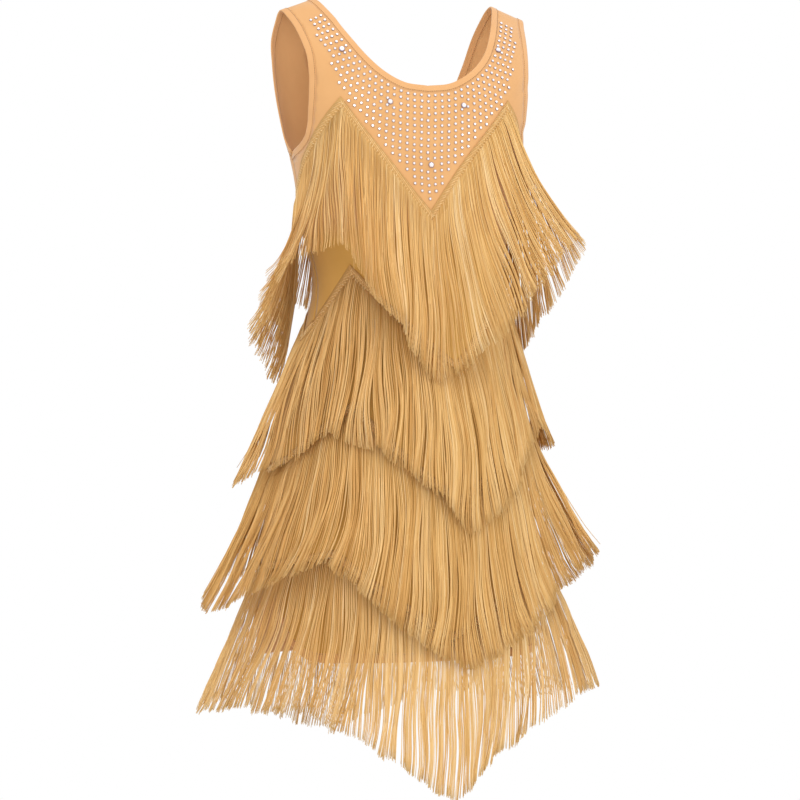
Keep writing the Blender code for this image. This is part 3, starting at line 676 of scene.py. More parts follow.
# Bindings, hems, side seams and their sewing
bindingSizes = {
    "width": 0.0080,
    "overlap": 0.0006,          # how far the binding's seam edge lies over the panel
    "thickness": 0.0023,
    "middle": -0.0005,          # the middle of the binding, measured out from the cloth's face
    "stitchIn": 0.0004,
    "stitchPitch": 0.0027,
    "stitchLength": 0.0029,
    "stitchWidth": 0.0008,
    "stitchHeight": 0.0003,
    "stitchSunk": 0.0001,
    "stitchTone": (0.2, 0.8),
    "roundness": 3.4,           # power of the cross-section's superellipse
    "profilePoints": 18,
    "edgePoints": 72,           # along each of an opening's edges
}


def openingLoop(frontName, backName, side):
    # (around, run) once round an opening: side 0 is the neck, 1 and -1 are the arms
    frontAround, frontRun = edgeCurve(frontName, bindingSizes["edgePoints"])
    backAround, backRun = edgeCurve(backName, bindingSizes["edgePoints"])
    if side == 0:
        return (np.concatenate([-frontAround[:-1], frontAround[::-1], backAround[1:],
                                -backAround[-2:0:-1]]),
                np.concatenate([frontRun[:-1], frontRun[::-1], -backRun[1:], -backRun[-2:0:-1]]))
    return (side * np.concatenate([frontAround, backAround[-2:0:-1]]),
            np.concatenate([frontRun, -backRun[-2:0:-1]]))


def evenlyAlong(path, spacing, closed):
    # places along a path at equal steps of its length, as (index, share) into its points
    ahead = np.roll(path, -1, axis=0) if closed else path[1:]
    lengths = np.linalg.norm(ahead - path[:len(ahead)], axis=1)
    ends = runningSum(lengths)
    count = max(2, int(round(ends[-1] / spacing)))
    at = (np.arange(count) + 0.5) / count * ends[-1]
    index = np.clip(np.searchsorted(ends, at) - 1, 0, len(lengths) - 1)
    return index, (at - ends[index]) / lengths[index]


def between(values, index, share):
    # value + (next value - value) * share
    following = np.roll(values, -1, axis=0)
    return values[index] + (following[index] - values[index]) * share[:, None]


def sewnLine(path, across, normal, offset, lift, closed, seed):
    # a row of leaf stitches at a fixed distance from the path
    index, share = evenlyAlong(path, bindingSizes["stitchPitch"], closed)
    place = between(path, index, share)
    side = unitVectors(between(across, index, share))
    out = unitVectors(between(normal, index, share))
    tone = np.random.default_rng(seed).uniform(*bindingSizes["stitchTone"], len(place))
    return leafStitches(place + offset * side + lift * out, unitVectors(np.cross(side, out)), side,
                        out, bindingSizes["stitchLength"], bindingSizes["stitchWidth"],
                        bindingSizes["stitchHeight"], tone)


def barProfile(sizes):
    # a rounded bar from its overlap with the panel to its width
    return roundedBar(-sizes["overlap"], sizes["width"], sizes["middle"], sizes["thickness"],
                      sizes["roundness"], sizes["profilePoints"])


def makeBinding(name, node, frontName, backName, side, seed):
    # a bar carried round the opening, with across = normal x along, turned into the opening
    around, run = openingLoop(frontName, backName, side)
    path, normal = clothPoint(around, run), clothNormal(around, run)
    along = unitVectors(np.roll(path, -1, axis=0) - np.roll(path, 1, axis=0))
    across = unitVectors(np.cross(normal, along))
    across *= np.sign(np.sum(across * (path.mean(axis=0) - path), axis=1))[:, None]
    shape = carriedProfile(path, across, normal, barProfile(bindingSizes), True)
    piece = addPiece(name, shape, [boundEdge], [node])
    inwards, sunk = bindingSizes["stitchIn"], bindingSizes["stitchSunk"]
    top = bindingSizes["middle"] + bindingSizes["thickness"] / 2
    under = bindingSizes["middle"] - bindingSizes["thickness"] / 2
    sewn = [sewnLine(path, across, normal, inwards, top - sunk, True, seed),
            sewnLine(path, across, -normal, inwards, -under - sunk, True, seed + 1)]
    return piece, sewn


neckBinding, neckSewing = makeBinding("neck_bound_edge", "neck_binding",
                                      "neckFront", "neckBack", side=0, seed=3)
leftBinding, leftSewing = makeBinding("arm_bound_edge_left", "arm_binding_left",
                                      "armFront", "armBack", side=1, seed=5)
rightBinding, rightSewing = makeBinding("arm_bound_edge_right", "arm_binding_right",
                                        "armFront", "armBack", side=-1, seed=7)
sewing = neckSewing + leftSewing + rightSewing

hemSizes = {
    "width": 0.0110,
    "overlap": 0.0004,          # how far the fold lies below the panel's lower edge
    "thickness": 0.0021,
    "middle": -0.0005,
    "roundness": 4.0,
    "profilePoints": 16,
    "stitchUp": 0.0095,
    "points": 160,
    "beforeSeam": 0.02,         # degrees short of the side seam
    "stepUp": 0.01,             # the step up the cloth that gives the bar its direction
}


def makeHem(name, sign, seed):
    # the turned-up hem: a flat rounded bar carried along the panel's lower edge, across = up the cloth
    seam = wornForm["sideSeam"] - hemSizes["beforeSeam"]
    around = np.linspace(-seam, seam, hemSizes["points"])
    run = sign * runAtDrop(hemDropAt(around))
    path, normal = clothPoint(around, run), clothNormal(around, run)
    across = unitVectors(clothPoint(around, run - sign * hemSizes["stepUp"]) - path)
    shape = carriedProfile(path, across, normal, barProfile(hemSizes), False)
    piece = addPiece(name, shape, [boundEdge])
    lift = hemSizes["middle"] + hemSizes["thickness"] / 2 - bindingSizes["stitchSunk"]
    return piece, [sewnLine(path, across, normal, hemSizes["stitchUp"], lift, False, seed)]


frontHem, frontHemSewing = makeHem("front_hem", 1, seed=11)
backHem, backHemSewing = makeHem("back_hem", -1, seed=13)
sewing += frontHemSewing + backHemSewing

seamSizes = {
    "width": 0.003,             # to each side of the seam
    "overlap": 0.003,
    "thickness": 0.0012,
    "middle": -0.0016,
    "roundness": 2.5,
    "profilePoints": 10,
    "startRun": 0.235,
    "aboveHem": 0.004,
    "points": 90,
    "around": 89.99,
    "stitchDepth": 0.0022,
}


def makeSeam(name, around, run, seed):
    # the inside of a side seam: a flat overlocked strip under the cloth, across = normal x along
    path, normal = clothPoint(around, run), clothNormal(around, run)
    along = unitVectors(np.gradient(path, axis=0))
    across = unitVectors(np.cross(normal, along))
    shape = carriedProfile(path, across, normal, barProfile(seamSizes), False)
    piece = addPiece(name, shape, [clothInside])
    return piece, [sewnLine(path, across, -normal, 0.0, seamSizes["stitchDepth"], False, seed)]


seamEnd = runAtDrop(hemDropAt(wornForm["sideSeam"])) - seamSizes["aboveHem"]
seamRun = np.linspace(seamSizes["startRun"], seamEnd, seamSizes["points"])
for seamName, side in (("side_seam_left", 1), ("side_seam_right", -1)):
    seamAround = np.full(len(seamRun), side * seamSizes["around"])
    seamPiece, seamSewing = makeSeam(seamName, seamAround, seamRun, seed=17 + side)
    sewing += seamSewing

topstitching = addPiece("topstitching", joined(sewing), [stitchThread])
print("bindings, hems and stitching made")


# The four tiers of fringe
tierRows = {
    # header's drop at the centre line, peak, low and side seam; peak and low in degrees
    "front": [
        (0.258, 0.1255, 0.1951, 0.224, 36, 74),
        (0.435, 0.321, 0.3566, 0.385, 54, 74),
        (0.593, 0.48, 0.5168, 0.545, 52, 73.5),
        (0.751, 0.653, 0.6615, 0.668, 52, 73.5),
    ],
    "back": [
        (0.25, 0.16, 0.262, 0.224, 38, 74),
        (0.425, 0.345, 0.4, 0.385, 42, 74),
        (0.568, 0.5, 0.556, 0.545, 42, 74),
        (0.69, 0.655, 0.676, 0.668, 42, 74),
    ],
}

fringeSwing = {
    # degrees round the form, swing of tiers 1 to 4 in degrees, curve of tier 1 and of tier 4
    "rows": [
        (-180, 8, 8, 8, 8, 0.6, 0),
        (-140, 16, 18, 18, 18, 0.8, 0),
        (-110, 8, 23, 25, 23, 1, 0),
        (-90, 19.5, 25, 26, 24, 1, 0),
        (-74, 23, 17, 26, 23, 1, 0),
        (-60, 30, 14, 24, 19, 1, -0.1),
        (-45, 33, 12, 17, 13, 0.8, -0.2),
        (-36, 30, 11, 14, 10, 0.7, -0.2),
        (-20, 16, 8, 8, 6, 0.5, -0.2),
        (0, 4, 4, 4, 3, 0.4, 0),
        (20, 17, 8, 7, 5, 0.3, 0),
        (36, 34, 11, 13, 9, 0.2, 0),
        (45, 28, 12, 21, 17, 0.2, -0.1),
        (54, 19, 15, 27, 24, 0.2, -0.3),
        (62, 11, 17, 28, 27, 0.2, -0.3),
        (74, 7, 17, 28, 27, 0.2, -0.3),
        (90, 3, 12, 24, 23, 0.3, -0.2),
        (110, 6, 10, 20, 20, 0.4, 0),
        (140, 20, 16, 16, 16, 0.5, 0),
        (180, 8, 8, 8, 8, 0.6, 0),
    ],
    # degrees round the form, and how far tiers 1 to 4 drift sideways by their tips
    "drift": [
        (-180, 0, 0, 0, 0),
        (-100, 0, 0, 0, 0),
        (-74, 0.004, 0, -0.01, -0.014),
        (-60, 0.006, -0.002, -0.02, -0.022),
        (-45, 0.012, -0.004, -0.024, -0.024),
        (-30, 0.02, -0.008, -0.022, -0.022),
        (-20, 0.008, -0.004, -0.022, -0.018),
        (-10, 0.002, 0.001, -0.018, -0.015),
        (0, 0.006, 0, 0, -0.014),
        (5, 0.017, 0.012, 0.012, -0.013),
        (10, 0.024, 0.016, 0.022, -0.018),
        (20, 0.026, 0.016, 0.032, -0.026),
        (28, 0.022, 0.013, 0.032, -0.03),
        (36, 0.016, 0.004, 0.026, -0.03),
        (45, 0.01, -0.004, 0.012, -0.024),
        (54, 0.004, 0, 0, -0.014),
        (62, 0, 0, 0, -0.006),
        (90, 0, 0, 0, 0),
        (180, 0, 0, 0, 0),
    ],
    # degrees round the form, how much shorter tiers 1 to 4 hang there, and how loose tier 1 swings
    "trim": [
        (-180, 0, 0, 0, 0, 0),
        (-130, 0, 0, 0.004, 0.008, 0.5),
        (-105, 0, 0, 0.009, 0.016, 0.9),
        (-74, 0, 0, 0.004, 0.012, 0.6),
        (-56, -0.002, 0, 0.002, 0.012, 0.2),
        (-46, -0.008, 0.006, 0.002, 0.01, 0.1),
        (-36, -0.01, 0.019, 0.001, 0.014, 0),
        (-15, 0, 0.016, 0, 0.011, 0),
        (0, -0.002, 0, 0, 0.005, 0),
        (8, -0.01, 0, 0, 0.01, 0),
        (22, -0.01, 0, 0, 0.016, 0),
        (36, 0.002, 0, 0.002, 0.015, 0),
        (45, 0.004, 0, 0.004, 0.013, 0.1),
        (66, 0.003, 0.002, 0.011, 0.015, 0.3),
        (90, 0.003, 0.028, 0.011, 0.014, 0.4),
        (115, 0.002, 0.03, 0.006, 0.008, 0.3),
        (140, 0, 0, 0, 0.004, 0.2),
        (180, 0, 0, 0, 0, 0),
    ],
    "middleCurve": 0.2,
    "firstCurveShare": 0.06,
}

fringeSizes = {
    "headerDrop": 0.0100,
    "headerLift": 0.0004,
    "headerWidth": 0.0088,      # square to its run
    "headerPoints": 280,
    "beforeSeam": 0.05,         # degrees short of the side seam
    # profile of the header: share of its width, rise off the cloth
    "headerRise": [(0.0, 0.0), (0.0, 0.0006), (0.10, 0.0011), (0.35, 0.0015), (0.70, 0.0019),
                   (0.93, 0.0020), (1.0, 0.0014), (1.0, 0.0)],
    # the band under the ribs is painted dark: painted shade in the grooves between the ribs
    "headerGrooveShade": 0.10,
    "beadsPerMetre": 200,
    "ribPitch": 0.0020,
    "rib": (0.0098, 0.0013, 0.0010),            # length, width and height of a rib of the header
    "ribLift": 0.0015,
    "ribSlant": 0.40,
    "ribTone": (0.45, 0.85),
    "lowerRib": (0.0034, 0.0006),               # how far down and out every second rib stands again
    "rootShare": 0.93,          # where on the header the threads start, as a share of its drop
    "rootLift": 0.0004,
    "rootWithin": (0.25, 0.75),         # where in its own step along the header a thread stands
    "length": 0.1905,
    "points": 14,
    "radius": (0.00050, 0.00050, 0.00050, 0.00043),     # of tiers 1 to 4
    "thinnerFrom": 0.7,
    "tipRadius": 0.00036,
    "radiusSpread": 0.15,
    # tier 3's tone is lowered as painted shade, and tier 4's raised as painted light against the shadow
    # that tier 3 casts on it
    "tone": (0.50, 0.47, 0.38, 0.58),
    "toneWithin": (0.02, 0.98),
    "cordPitch": (0.0024, 0.0024, 0.0024, 0.0022),
    "cordUneven": 0.12,
    "cordGather": (0.76, 0.76, 0.76, 0.62),
    "cordGatherAt": ((0, 0.06, 0.8, 1), (0.5, 1, 0.9, 0.7)),    # how far down, and how much of it
    "lockPitch": (0.0125, 0.0125, 0.0125, 0.0090),
    "lockUneven": 0.42,
    "lockGather": (0.26, 0.26, 0.26, 0.40),
    "lockGatherAt": ((0, 0.3, 0.75, 1), (0, 0.6, 1, 0.8)),
    "lockFirmness": (0.35, 1.0),
    # most that a value strays from lock to lock, from cord to cord and from thread to thread
    "lengthSpread": (0.0030, 0, 0.0026),
    "swingSpread": (0.035, 0, 0.014),
    "driftSpread": (0.0012, 0.0012, 0),
    "depthSpread": (0.25, 0.15, 0.10),          # shares of depth
    "toneSpread": (0.12, 0.22, 0.16),
    "strayShare": 0.02,         # of the threads stray far, by these
    "strayDrift": (0, 0, 0.008),
    "straySwing": (0, 0, 0.20),
    "depth": 0.0044,            # how deep the layer of threads lies at its tips
    "depthPower": 0.8,
    "driftPower": 2.4,
    "looseSwingPower": 1.5,
    "loose": 0.0003,
    "grows": 2.5,               # waviness is full from 1 / 2.5 of the length down
    "sway": (0.0040, 0.0022),   # sideways and outwards
    "swayPower": 0.7,
    # turns down the thread, degrees round the form, share of the sway
    "swayTerms": [(0.75, 47.0, 1.0), (1.35, 19.0, 0.45)],
    "swayBend": (0.35, 5.3, 6.3),       # how far the phase bends, how often, and where it starts
    # waviness of a lock, a cord and a thread, with the fewest and the most turns down it
    "waviness": ((0.0009, 0.5, 1.1), (0.0003, 0.8, 1.8), (0.00015, 1.0, 2.4)),
    "flareBlend": 0.008,
    "rootHold": 12,             # the threads lie on the cloth down to 1 / 12 of their length
    "clearanceAt": (0.0, 0.25, 0.75, 1.0),
    "clearance": (0.0, 0.006, 0.012, 0.015),
    "strands": {"front": (1240, 1300, 1300, 1240), "back": (980, 1020, 1020, 620)},
}
sideSigns = {"front": 1, "back": -1}


def tierDrop(tier, side, around):
    # straight lines from the centre to the peak, to the low point and to the side seam
    row = tierRows[side][tier]
    return np.interp(np.abs(around), [0.0, row[4], row[5], wornForm["sideSeam"]], row[:4])


def placeRound(side, around):
    # degrees all round the form, which on the back go on past the side seam
    return around if side == "front" else np.sign(around) * 2 * wornForm["sideSeam"] - around


def atPlace(table, place, column):
    # straight lines between the rows of a table of fringeSwing
    columns = np.array(fringeSwing[table]).T
    return np.interp(place, columns[0], columns[column])


def headerTrack(tier, side):
    # the header's top and bottom edge along its zigzag, with its corners kept
    row = tierRows[side][tier]
    seam = wornForm["sideSeam"] - fringeSizes["beforeSeam"]
    around = np.unique(np.concatenate([np.linspace(-seam, seam, fringeSizes["headerPoints"]),
                                       [-row[5], -row[4], 0.0, row[4], row[5]]]))
    sign = sideSigns[side]
    drop = tierDrop(tier, side, around)
    top = clothPoint(around, sign * runAtDrop(drop), fringeSizes["headerLift"])
    level = np.linalg.norm(np.diff(top[:, :2], axis=0), axis=1)
    slope = np.abs(np.diff(drop)) / level
    slope = np.maximum(np.concatenate([slope[:1], slope]), np.concatenate([slope, slope[-1:]]))
    fall = fringeSizes["headerWidth"] * np.sqrt(1 + slope**2)
    bottom = clothPoint(around, sign * runAtDrop(drop + fall), fringeSizes["headerLift"])
    normal = clothNormal(around, sign * runAtDrop(drop + fall / 2))
    return around, top, bottom, normal


def makeHeader(name, tier, side, seed):
    # a flat woven band along the zigzag, with slanting ribs over it: direction = square + slant * ahead
    around, top, bottom, normal = headerTrack(tier, side)
    across = bottom - top
    corners, faces, uv = carriedProfile(top, across, normal, np.array(fringeSizes["headerRise"]), False)
    # the band takes the dark header tone, as painted shade between the ribs
    tones = np.full(len(uv), fringeSizes["headerGrooveShade"])
    uv = np.stack([tones, uv[:, 1] * fringeSizes["beadsPerMetre"]], axis=-1)
    index, share = evenlyAlong((top + bottom) / 2, fringeSizes["ribPitch"], False)
    start, down = between(top, index, share), between(across, index, share)
    out = unitVectors(between(normal, index, share))
    ahead = unitVectors(np.gradient(start, axis=0))
    square = unitVectors(down - np.sum(down * ahead, axis=1, keepdims=True) * ahead)
    centre = start + 0.5 * down + fringeSizes["ribLift"] * out
    slant = unitVectors(square + fringeSizes["ribSlant"] * ahead)
    tone = np.random.default_rng(seed).uniform(*fringeSizes["ribTone"], len(centre))
    beside = unitVectors(np.cross(out, slant))
    ribs = leafStitches(centre, slant, beside, out, *fringeSizes["rib"], tone)
    slant, beside, out, tone = slant[::2], beside[::2], out[::2], tone[::2]
    lower = centre[::2] + fringeSizes["lowerRib"][0] * slant + fringeSizes["lowerRib"][1] * out
    lowerRibs = leafStitches(lower, slant, beside, out, *fringeSizes["rib"], tone)
    ribCorners, ribFaces, ribUv = joined([ribs, lowerRibs])
    shape = (np.concatenate([corners, ribCorners]), faces + [ribFaces[0] + len(corners)],
             np.concatenate([uv, ribUv]))
    return addPiece(name, shape, [braidThread])


def hangingPaths(tier, side, around, length, swing, driftExtra, depth, share):
    # Each thread leaves the cloth, leans out by angle * share^curve, and is pushed clear of the wider
    # body below: away = smooth larger of (widening + clearance, flare).
    sign = sideSigns[side]
    topDrop = tierDrop(tier, side, around) + fringeSizes["headerDrop"] * fringeSizes["rootShare"]
    topRun = sign * runAtDrop(topDrop)
    root = clothPoint(around, topRun, fringeSizes["headerLift"] + fringeSizes["rootLift"])
    out = clothNormal(around, topRun)
    out[:, 2] = 0.0
    out = unitVectors(out)
    sideways = np.stack([-out[:, 1], out[:, 0], np.zeros(len(out))], axis=-1)
    place = placeRound(side, around)
    angle = np.radians(atPlace("rows", place, tier + 1)) * swing
    curve = np.full(len(around), fringeSwing["middleCurve"])
    if tier in (0, 3):
        curve = atPlace("rows", place, 5 if tier == 0 else 6)
    drift = atPlace("drift", place, tier + 1) + driftExtra
    curveShare = np.maximum(share, fringeSwing["firstCurveShare"])
    lean = (angle * (1 + curve))[:, None] * curveShare[None, :] ** curve[:, None]
    steps = length[:, None] * np.diff(share, prepend=0.0)[None, :]
    middleLean = (lean + np.concatenate([np.zeros((len(lean), 1)), lean[:, :-1]], axis=1)) / 2
    flare = np.cumsum(np.sin(middleLean) * steps, axis=1)
    fall = np.cumsum(np.cos(middleLean) * steps, axis=1)
    belowRun = sign * runAtDrop(np.minimum(topDrop[:, None] + fall, hemDropAt(around)[:, None]))
    body = clothSurface(np.broadcast_to(around[:, None], fall.shape), belowRun)
    widening = np.sum((body - clothSurface(around, topRun)[:, None]) * out[:, None], axis=-1)
    clear = np.interp(share, fringeSizes["clearanceAt"], fringeSizes["clearance"])[None, :]
    gap = widening + clear - flare
    away = 0.5 * (widening + clear + flare + np.sqrt(gap**2 + fringeSizes["flareBlend"] ** 2))
    away = away * np.minimum(1.0, share[None, :] * fringeSizes["rootHold"])
    away = away + depth[:, None] * share[None, :] ** fringeSizes["depthPower"]
    aside = drift[:, None] * share[None, :] ** fringeSizes["driftPower"]
    paths = root[:, None] + away[..., None] * out[:, None]
    paths = paths + aside[..., None] * sideways[:, None]
    paths[:, :, 2] = root[:, None, 2] - fall
    return paths, out, sideways


def swayAcross(around, share, amplitude, seed):
    # a slow wave shared by neighbours: sum of sines whose phase drifts with the place round the form
    random = np.random.default_rng(seed)
    total = np.zeros((len(around), len(share)))
    bend, often, latest = fringeSizes["swayBend"]
    for turns, degrees, size in fringeSizes["swayTerms"]:
        bent = bend * np.sin(np.radians(around * often) + random.uniform(0, latest))
        phase = around / degrees + bent + random.uniform(0, 1)
        total += size * np.sin(2 * np.pi * (phase[:, None] + turns * share[None, :]))
    return amplitude * total * (share[None, :] ** fringeSizes["swayPower"])


def pulledTogether(paths, group, pull):
    # each path moves level towards its group's mean path: path + (mean - path) * pull
    groups = group.max() + 1
    total = np.zeros((groups,) + paths.shape[1:])
    np.add.at(total, group, paths)
    mean = total / np.maximum(np.bincount(group, minlength=groups), 1)[:, None, None]
    paths[:, :, :2] += (mean[group] - paths)[:, :, :2] * pull[..., None]


def slowWave(random, group, size, fewest, most, share):
    # size * sin(phase + turns * share), with a phase and a number of turns for each group
    groups = group.max() + 1
    phase = random.uniform(0, 2 * np.pi, groups)[group]
    turns = random.uniform(fewest, most, groups)[group]
    return size * np.sin(phase[:, None] + 2 * np.pi * turns[:, None] * share[None, :])


def gatheredPaths(paths, around, tier, groups, share, out, sideways, random, seed):
    # threads lie in cords and cords in locks, which sway with their neighbours
    lock, cord = groups[:2]
    cordPull = fringeSizes["cordGather"][tier] * np.interp(share, *fringeSizes["cordGatherAt"])
    pulledTogether(paths, cord, np.broadcast_to(cordPull, paths.shape[:2]))
    firmness = random.uniform(*fringeSizes["lockFirmness"], lock.max() + 1)[lock]
    firmness = firmness * fringeSizes["lockGather"][tier]
    lockPull = np.interp(share, *fringeSizes["lockGatherAt"])
    pulledTogether(paths, lock, firmness[:, None] * lockPull[None, :])
    grow = np.clip(share * fringeSizes["grows"], 0, 1)[None, :]
    for axis, direction in enumerate((sideways, out)):
        offset = swayAcross(around, share, fringeSizes["sway"][axis], seed + axis)
        for group, (size, fewest, most) in zip(groups, fringeSizes["waviness"]):
            offset += slowWave(random, group, size, fewest, most, share) * grow
        offset += random.normal(0, fringeSizes["loose"], len(paths))[:, None] * grow
        offset = np.abs(offset) if axis == 1 else offset
        paths += offset[..., None] * direction[:, None]
    return paths


def threadTubes(paths, radius, out, tone):
    # a three-sided tube round each path: point + radius * (cos k * side + sin k * third)
    count, points = paths.shape[:2]
    along = unitVectors(np.gradient(paths, axis=1))
    tilt = np.array([0.0, 0.0, 0.05])       # keeps the cross product from vanishing
    side = unitVectors(np.cross(along, out[:, None] + tilt))
    third = np.cross(side, along)
    turn = np.radians([0.0, 120.0, 240.0])
    ring = (np.cos(turn)[:, None] * side[:, :, None] + np.sin(turn)[:, None] * third[:, :, None])
    corners = (paths[:, :, None] + radius[:, :, None, None] * ring).reshape(-1, 3)
    i, j, k = np.meshgrid(np.arange(count), np.arange(points - 1), np.arange(3), indexing="ij")
    here, below = (i * points + j) * 3, (i * points + j + 1) * 3
    following = (k + 1) % 3
    quads = np.stack([here + k, below + k, below + following, here + following], axis=-1).reshape(-1, 4)
    base = np.arange(count)[:, None] * points * 3
    caps = np.concatenate([base + [0, 1, 2], base + (points - 1) * 3 + np.array([2, 1, 0])])
    share = np.linspace(0, 1, points)
    uv = np.broadcast_arrays(tone[:, None, None], share[None, :, None], np.zeros((1, 1, 3)))
    uv = np.stack(uv[:2], axis=-1).reshape(-1, 2)
    return corners, facesOutward(corners, [quads, caps]), uv


def groupedEvenly(place, groups, uneven, random):
    # numbers of the groups that places from 0 to 1 fall in, with uneven borders between the groups
    groups = int(groups)
    borders = np.linspace(0, 1, groups + 1)[1:-1]
    borders = borders + random.uniform(-uneven, uneven, groups - 1) / groups
    return np.searchsorted(np.sort(borders), place)


def strayed(random, groups, middle, spreads):
    # middle + a random number from -spread to spread for each lock, each cord and each thread
    for group, spread in zip(groups, spreads):
        if spread:
            middle = middle + random.uniform(-spread, spread, group.max() + 1)[group]
    return middle


def makeFringe(name, tier, side, seed):
    # single threads at even steps along the header, each with the place, swing, length and tone of
    # its lock, its cord and its own
    random = np.random.default_rng(seed)
    count = fringeSizes["strands"][side][tier]
    around, _, bottom, _ = headerTrack(tier, side)
    lengths = runningSum(np.linalg.norm(np.diff(bottom, axis=0), axis=1))
    even = (np.arange(count) + random.uniform(*fringeSizes["rootWithin"], count)) / count
    rootAround = np.interp(even * lengths[-1], lengths, around)
    cords = lengths[-1] / fringeSizes["cordPitch"][tier]
    locks = lengths[-1] / fringeSizes["lockPitch"][tier]
    cord = groupedEvenly(even, cords, fringeSizes["cordUneven"], random)
    lock = groupedEvenly(even, locks, fringeSizes["lockUneven"], random)
    groups = (lock, cord, np.arange(count))
    length = strayed(random, groups, fringeSizes["length"], fringeSizes["lengthSpread"])
    swing = strayed(random, groups, 1, fringeSizes["swingSpread"])
    drift = strayed(random, groups, 0, fringeSizes["driftSpread"])
    place = placeRound(side, rootAround)
    length = length - atPlace("trim", place, tier + 1)
    if tier == 0:
        loosely = random.uniform(0, 1, count) ** fringeSizes["looseSwingPower"]
        swing = swing * (1 - loosely * atPlace("trim", place, 5))
    stray = random.uniform(0, 1, count) < fringeSizes["strayShare"]
    drift = drift + np.where(stray, strayed(random, groups, 0, fringeSizes["strayDrift"]), 0.0)
    swing = swing + np.where(stray, strayed(random, groups, 0, fringeSizes["straySwing"]), 0.0)
    depth = strayed(random, groups, 0.5, fringeSizes["depthSpread"]) * fringeSizes["depth"]
    share = np.linspace(0, 1, fringeSizes["points"])
    paths, out, sideways = hangingPaths(tier, side, rootAround, length, swing, drift, depth, share)
    paths = gatheredPaths(paths, rootAround, tier, groups, share, out, sideways, random, seed)
    width, spread = fringeSizes["radius"][tier], fringeSizes["radiusSpread"]
    radius = np.interp(share, [0, fringeSizes["thinnerFrom"], 1],
                       [width, width, fringeSizes["tipRadius"]])
    radius = radius[None, :] * random.uniform(1 - spread, 1 + spread, count)[:, None]
    tone = strayed(random, groups, fringeSizes["tone"][tier], fringeSizes["toneSpread"])
    tone = np.clip(tone, *fringeSizes["toneWithin"])
    return addPiece(name, threadTubes(paths, radius, out, tone), [fringeThread],
                    [f"fringe_{tier + 1}_{side}"])


for tier in range(4):
    for sideIndex, side in enumerate(sideSigns):
        seed = 2 * tier + sideIndex
        makeHeader(f"braid_{tier + 1}_{side}", tier, side, seed=50 + seed)
        makeFringe(f"threads_{tier + 1}_{side}", tier, side, seed=90 + seed)
    print("fringe tier", tier + 1, "made")


# The rhinestones of the yoke
stoneSizes = {
    "diameter": 0.0038,
    "bigDiameter": 0.0070,
    "height": 0.42,             # as a share of the diameter
    "lift": 0.0002,
    "rows": 19,
    "edgePoints": 400,
    # distance of row 1 from the neck seam, from row to row and along a row, on the strap and at the
    # centre line
    "firstRow": (0.0046, 0.0050),
    "rowPitch": (0.0066, 0.0077),
    "alongPitch": (0.0100, 0.0083),
    "squareWithin": 0.035,      # the rows turn square to the centre line within this half width
    "startsAt": 0.040,          # how far down the cloth from the fold the stones begin
    # outer boundary of the stones: half width at each drop, from the strap down to the tip of the V
    "boundary": [(0.1365, 0.012), (0.1275, 0.040), (0.1185, 0.070), (0.1085, 0.100),
                 (0.0960, 0.128)],
    "boundarySlack": 0.001,
    "centreWithin": 0.001,      # stones this near to the centre line aren't mirrored
    "vMargin": 0.0085,          # clear distance above the fringe header
    # half width and drop of the larger stones, and the room that each takes
    "big": [(-0.1000, 0.0690), (-0.0460, 0.1320), (0.0435, 0.1340), (0.0040, 0.2060),
            (0.0965, 0.0636)],
    "bigRoom": 0.0048,
    "uneven": (0.05, 0.0002, 0.05),     # degrees round, run down, share of the diameter
    "sides": 8,
    # table, edge and back: share of the radius, share of the height, share of a side turned, tone of its
    # painted reflection
    "rings": ((0.52, 1.0, 0.0, 0.15), (1.0, 0.42, 0.5, 0.85), (1.0, 0.0, 0.5, 1.0)),
}


def stoneRows():
    # rows are the neck edge moved away from the opening; stones stand at even steps along each
    halfWidth, drop, knots = edgeTable("neckFront")
    places = np.linspace(0, knots[-1], stoneSizes["edgePoints"])
    x = smoothCurve(places, knots, halfWidth)
    run = runAtDrop(smoothCurve(places, knots, drop))
    slopeX, slopeRun = np.gradient(x, places), np.gradient(run, places)
    size = np.hypot(slopeX, slopeRun)
    awayX = slopeRun / size * np.clip(x / stoneSizes["squareWithin"], 0.0, 1.0)
    awayRun = np.sqrt(1.0 - awayX**2)
    share = places / knots[-1]
    found = []
    for row in range(stoneSizes["rows"]):
        first = np.interp(share, [0, 1], stoneSizes["firstRow"])
        pitch = np.interp(share, [0, 1], stoneSizes["rowPitch"])
        offset = first + row * pitch
        rowX, rowRun = x + offset * awayX, run + offset * awayRun
        steps = np.hypot(np.diff(rowX), np.diff(rowRun))
        alongPitch = np.interp(share, [0, 1], stoneSizes["alongPitch"])
        counted = runningSum(steps / alongPitch[1:])
        halfStep = 0.5 if row % 2 else 0.0
        counted = counted[-1] - counted + halfStep
        wanted = np.arange(halfStep, counted[0], 1.0)
        stoneX = np.interp(wanted, counted[::-1], rowX[::-1])
        stoneRun = np.interp(wanted, counted[::-1], rowRun[::-1])
        found.append(np.stack([stoneX, stoneRun], axis=-1))
    return np.concatenate(found)


def stonePlaces():
    # the rows' stones inside the V, with all but those on the centre line mirrored
    x, run = stoneRows().T
    drop = np.interp(run, fineRuns, fineDrops)
    boundaryWidth, boundaryDrop = np.array(stoneSizes["boundary"]).T
    limit = np.interp(drop, boundaryDrop, boundaryWidth) + stoneSizes["boundarySlack"]
    around = aroundAtWidth(x, run)
    aboveHeader = drop < tierDrop(0, "front", around) - stoneSizes["vMargin"]
    kept = (x < limit) & aboveHeader & (run > stoneSizes["startsAt"])
    kept = kept & (x > -stoneSizes["centreWithin"] / 2)
    x, around, run = x[kept], around[kept], run[kept]
    offCentre = x > stoneSizes["centreWithin"]
    return (np.concatenate([x, -x[offCentre]]), np.concatenate([around, -around[offCentre]]),
            np.concatenate([run, run[offCentre]]))


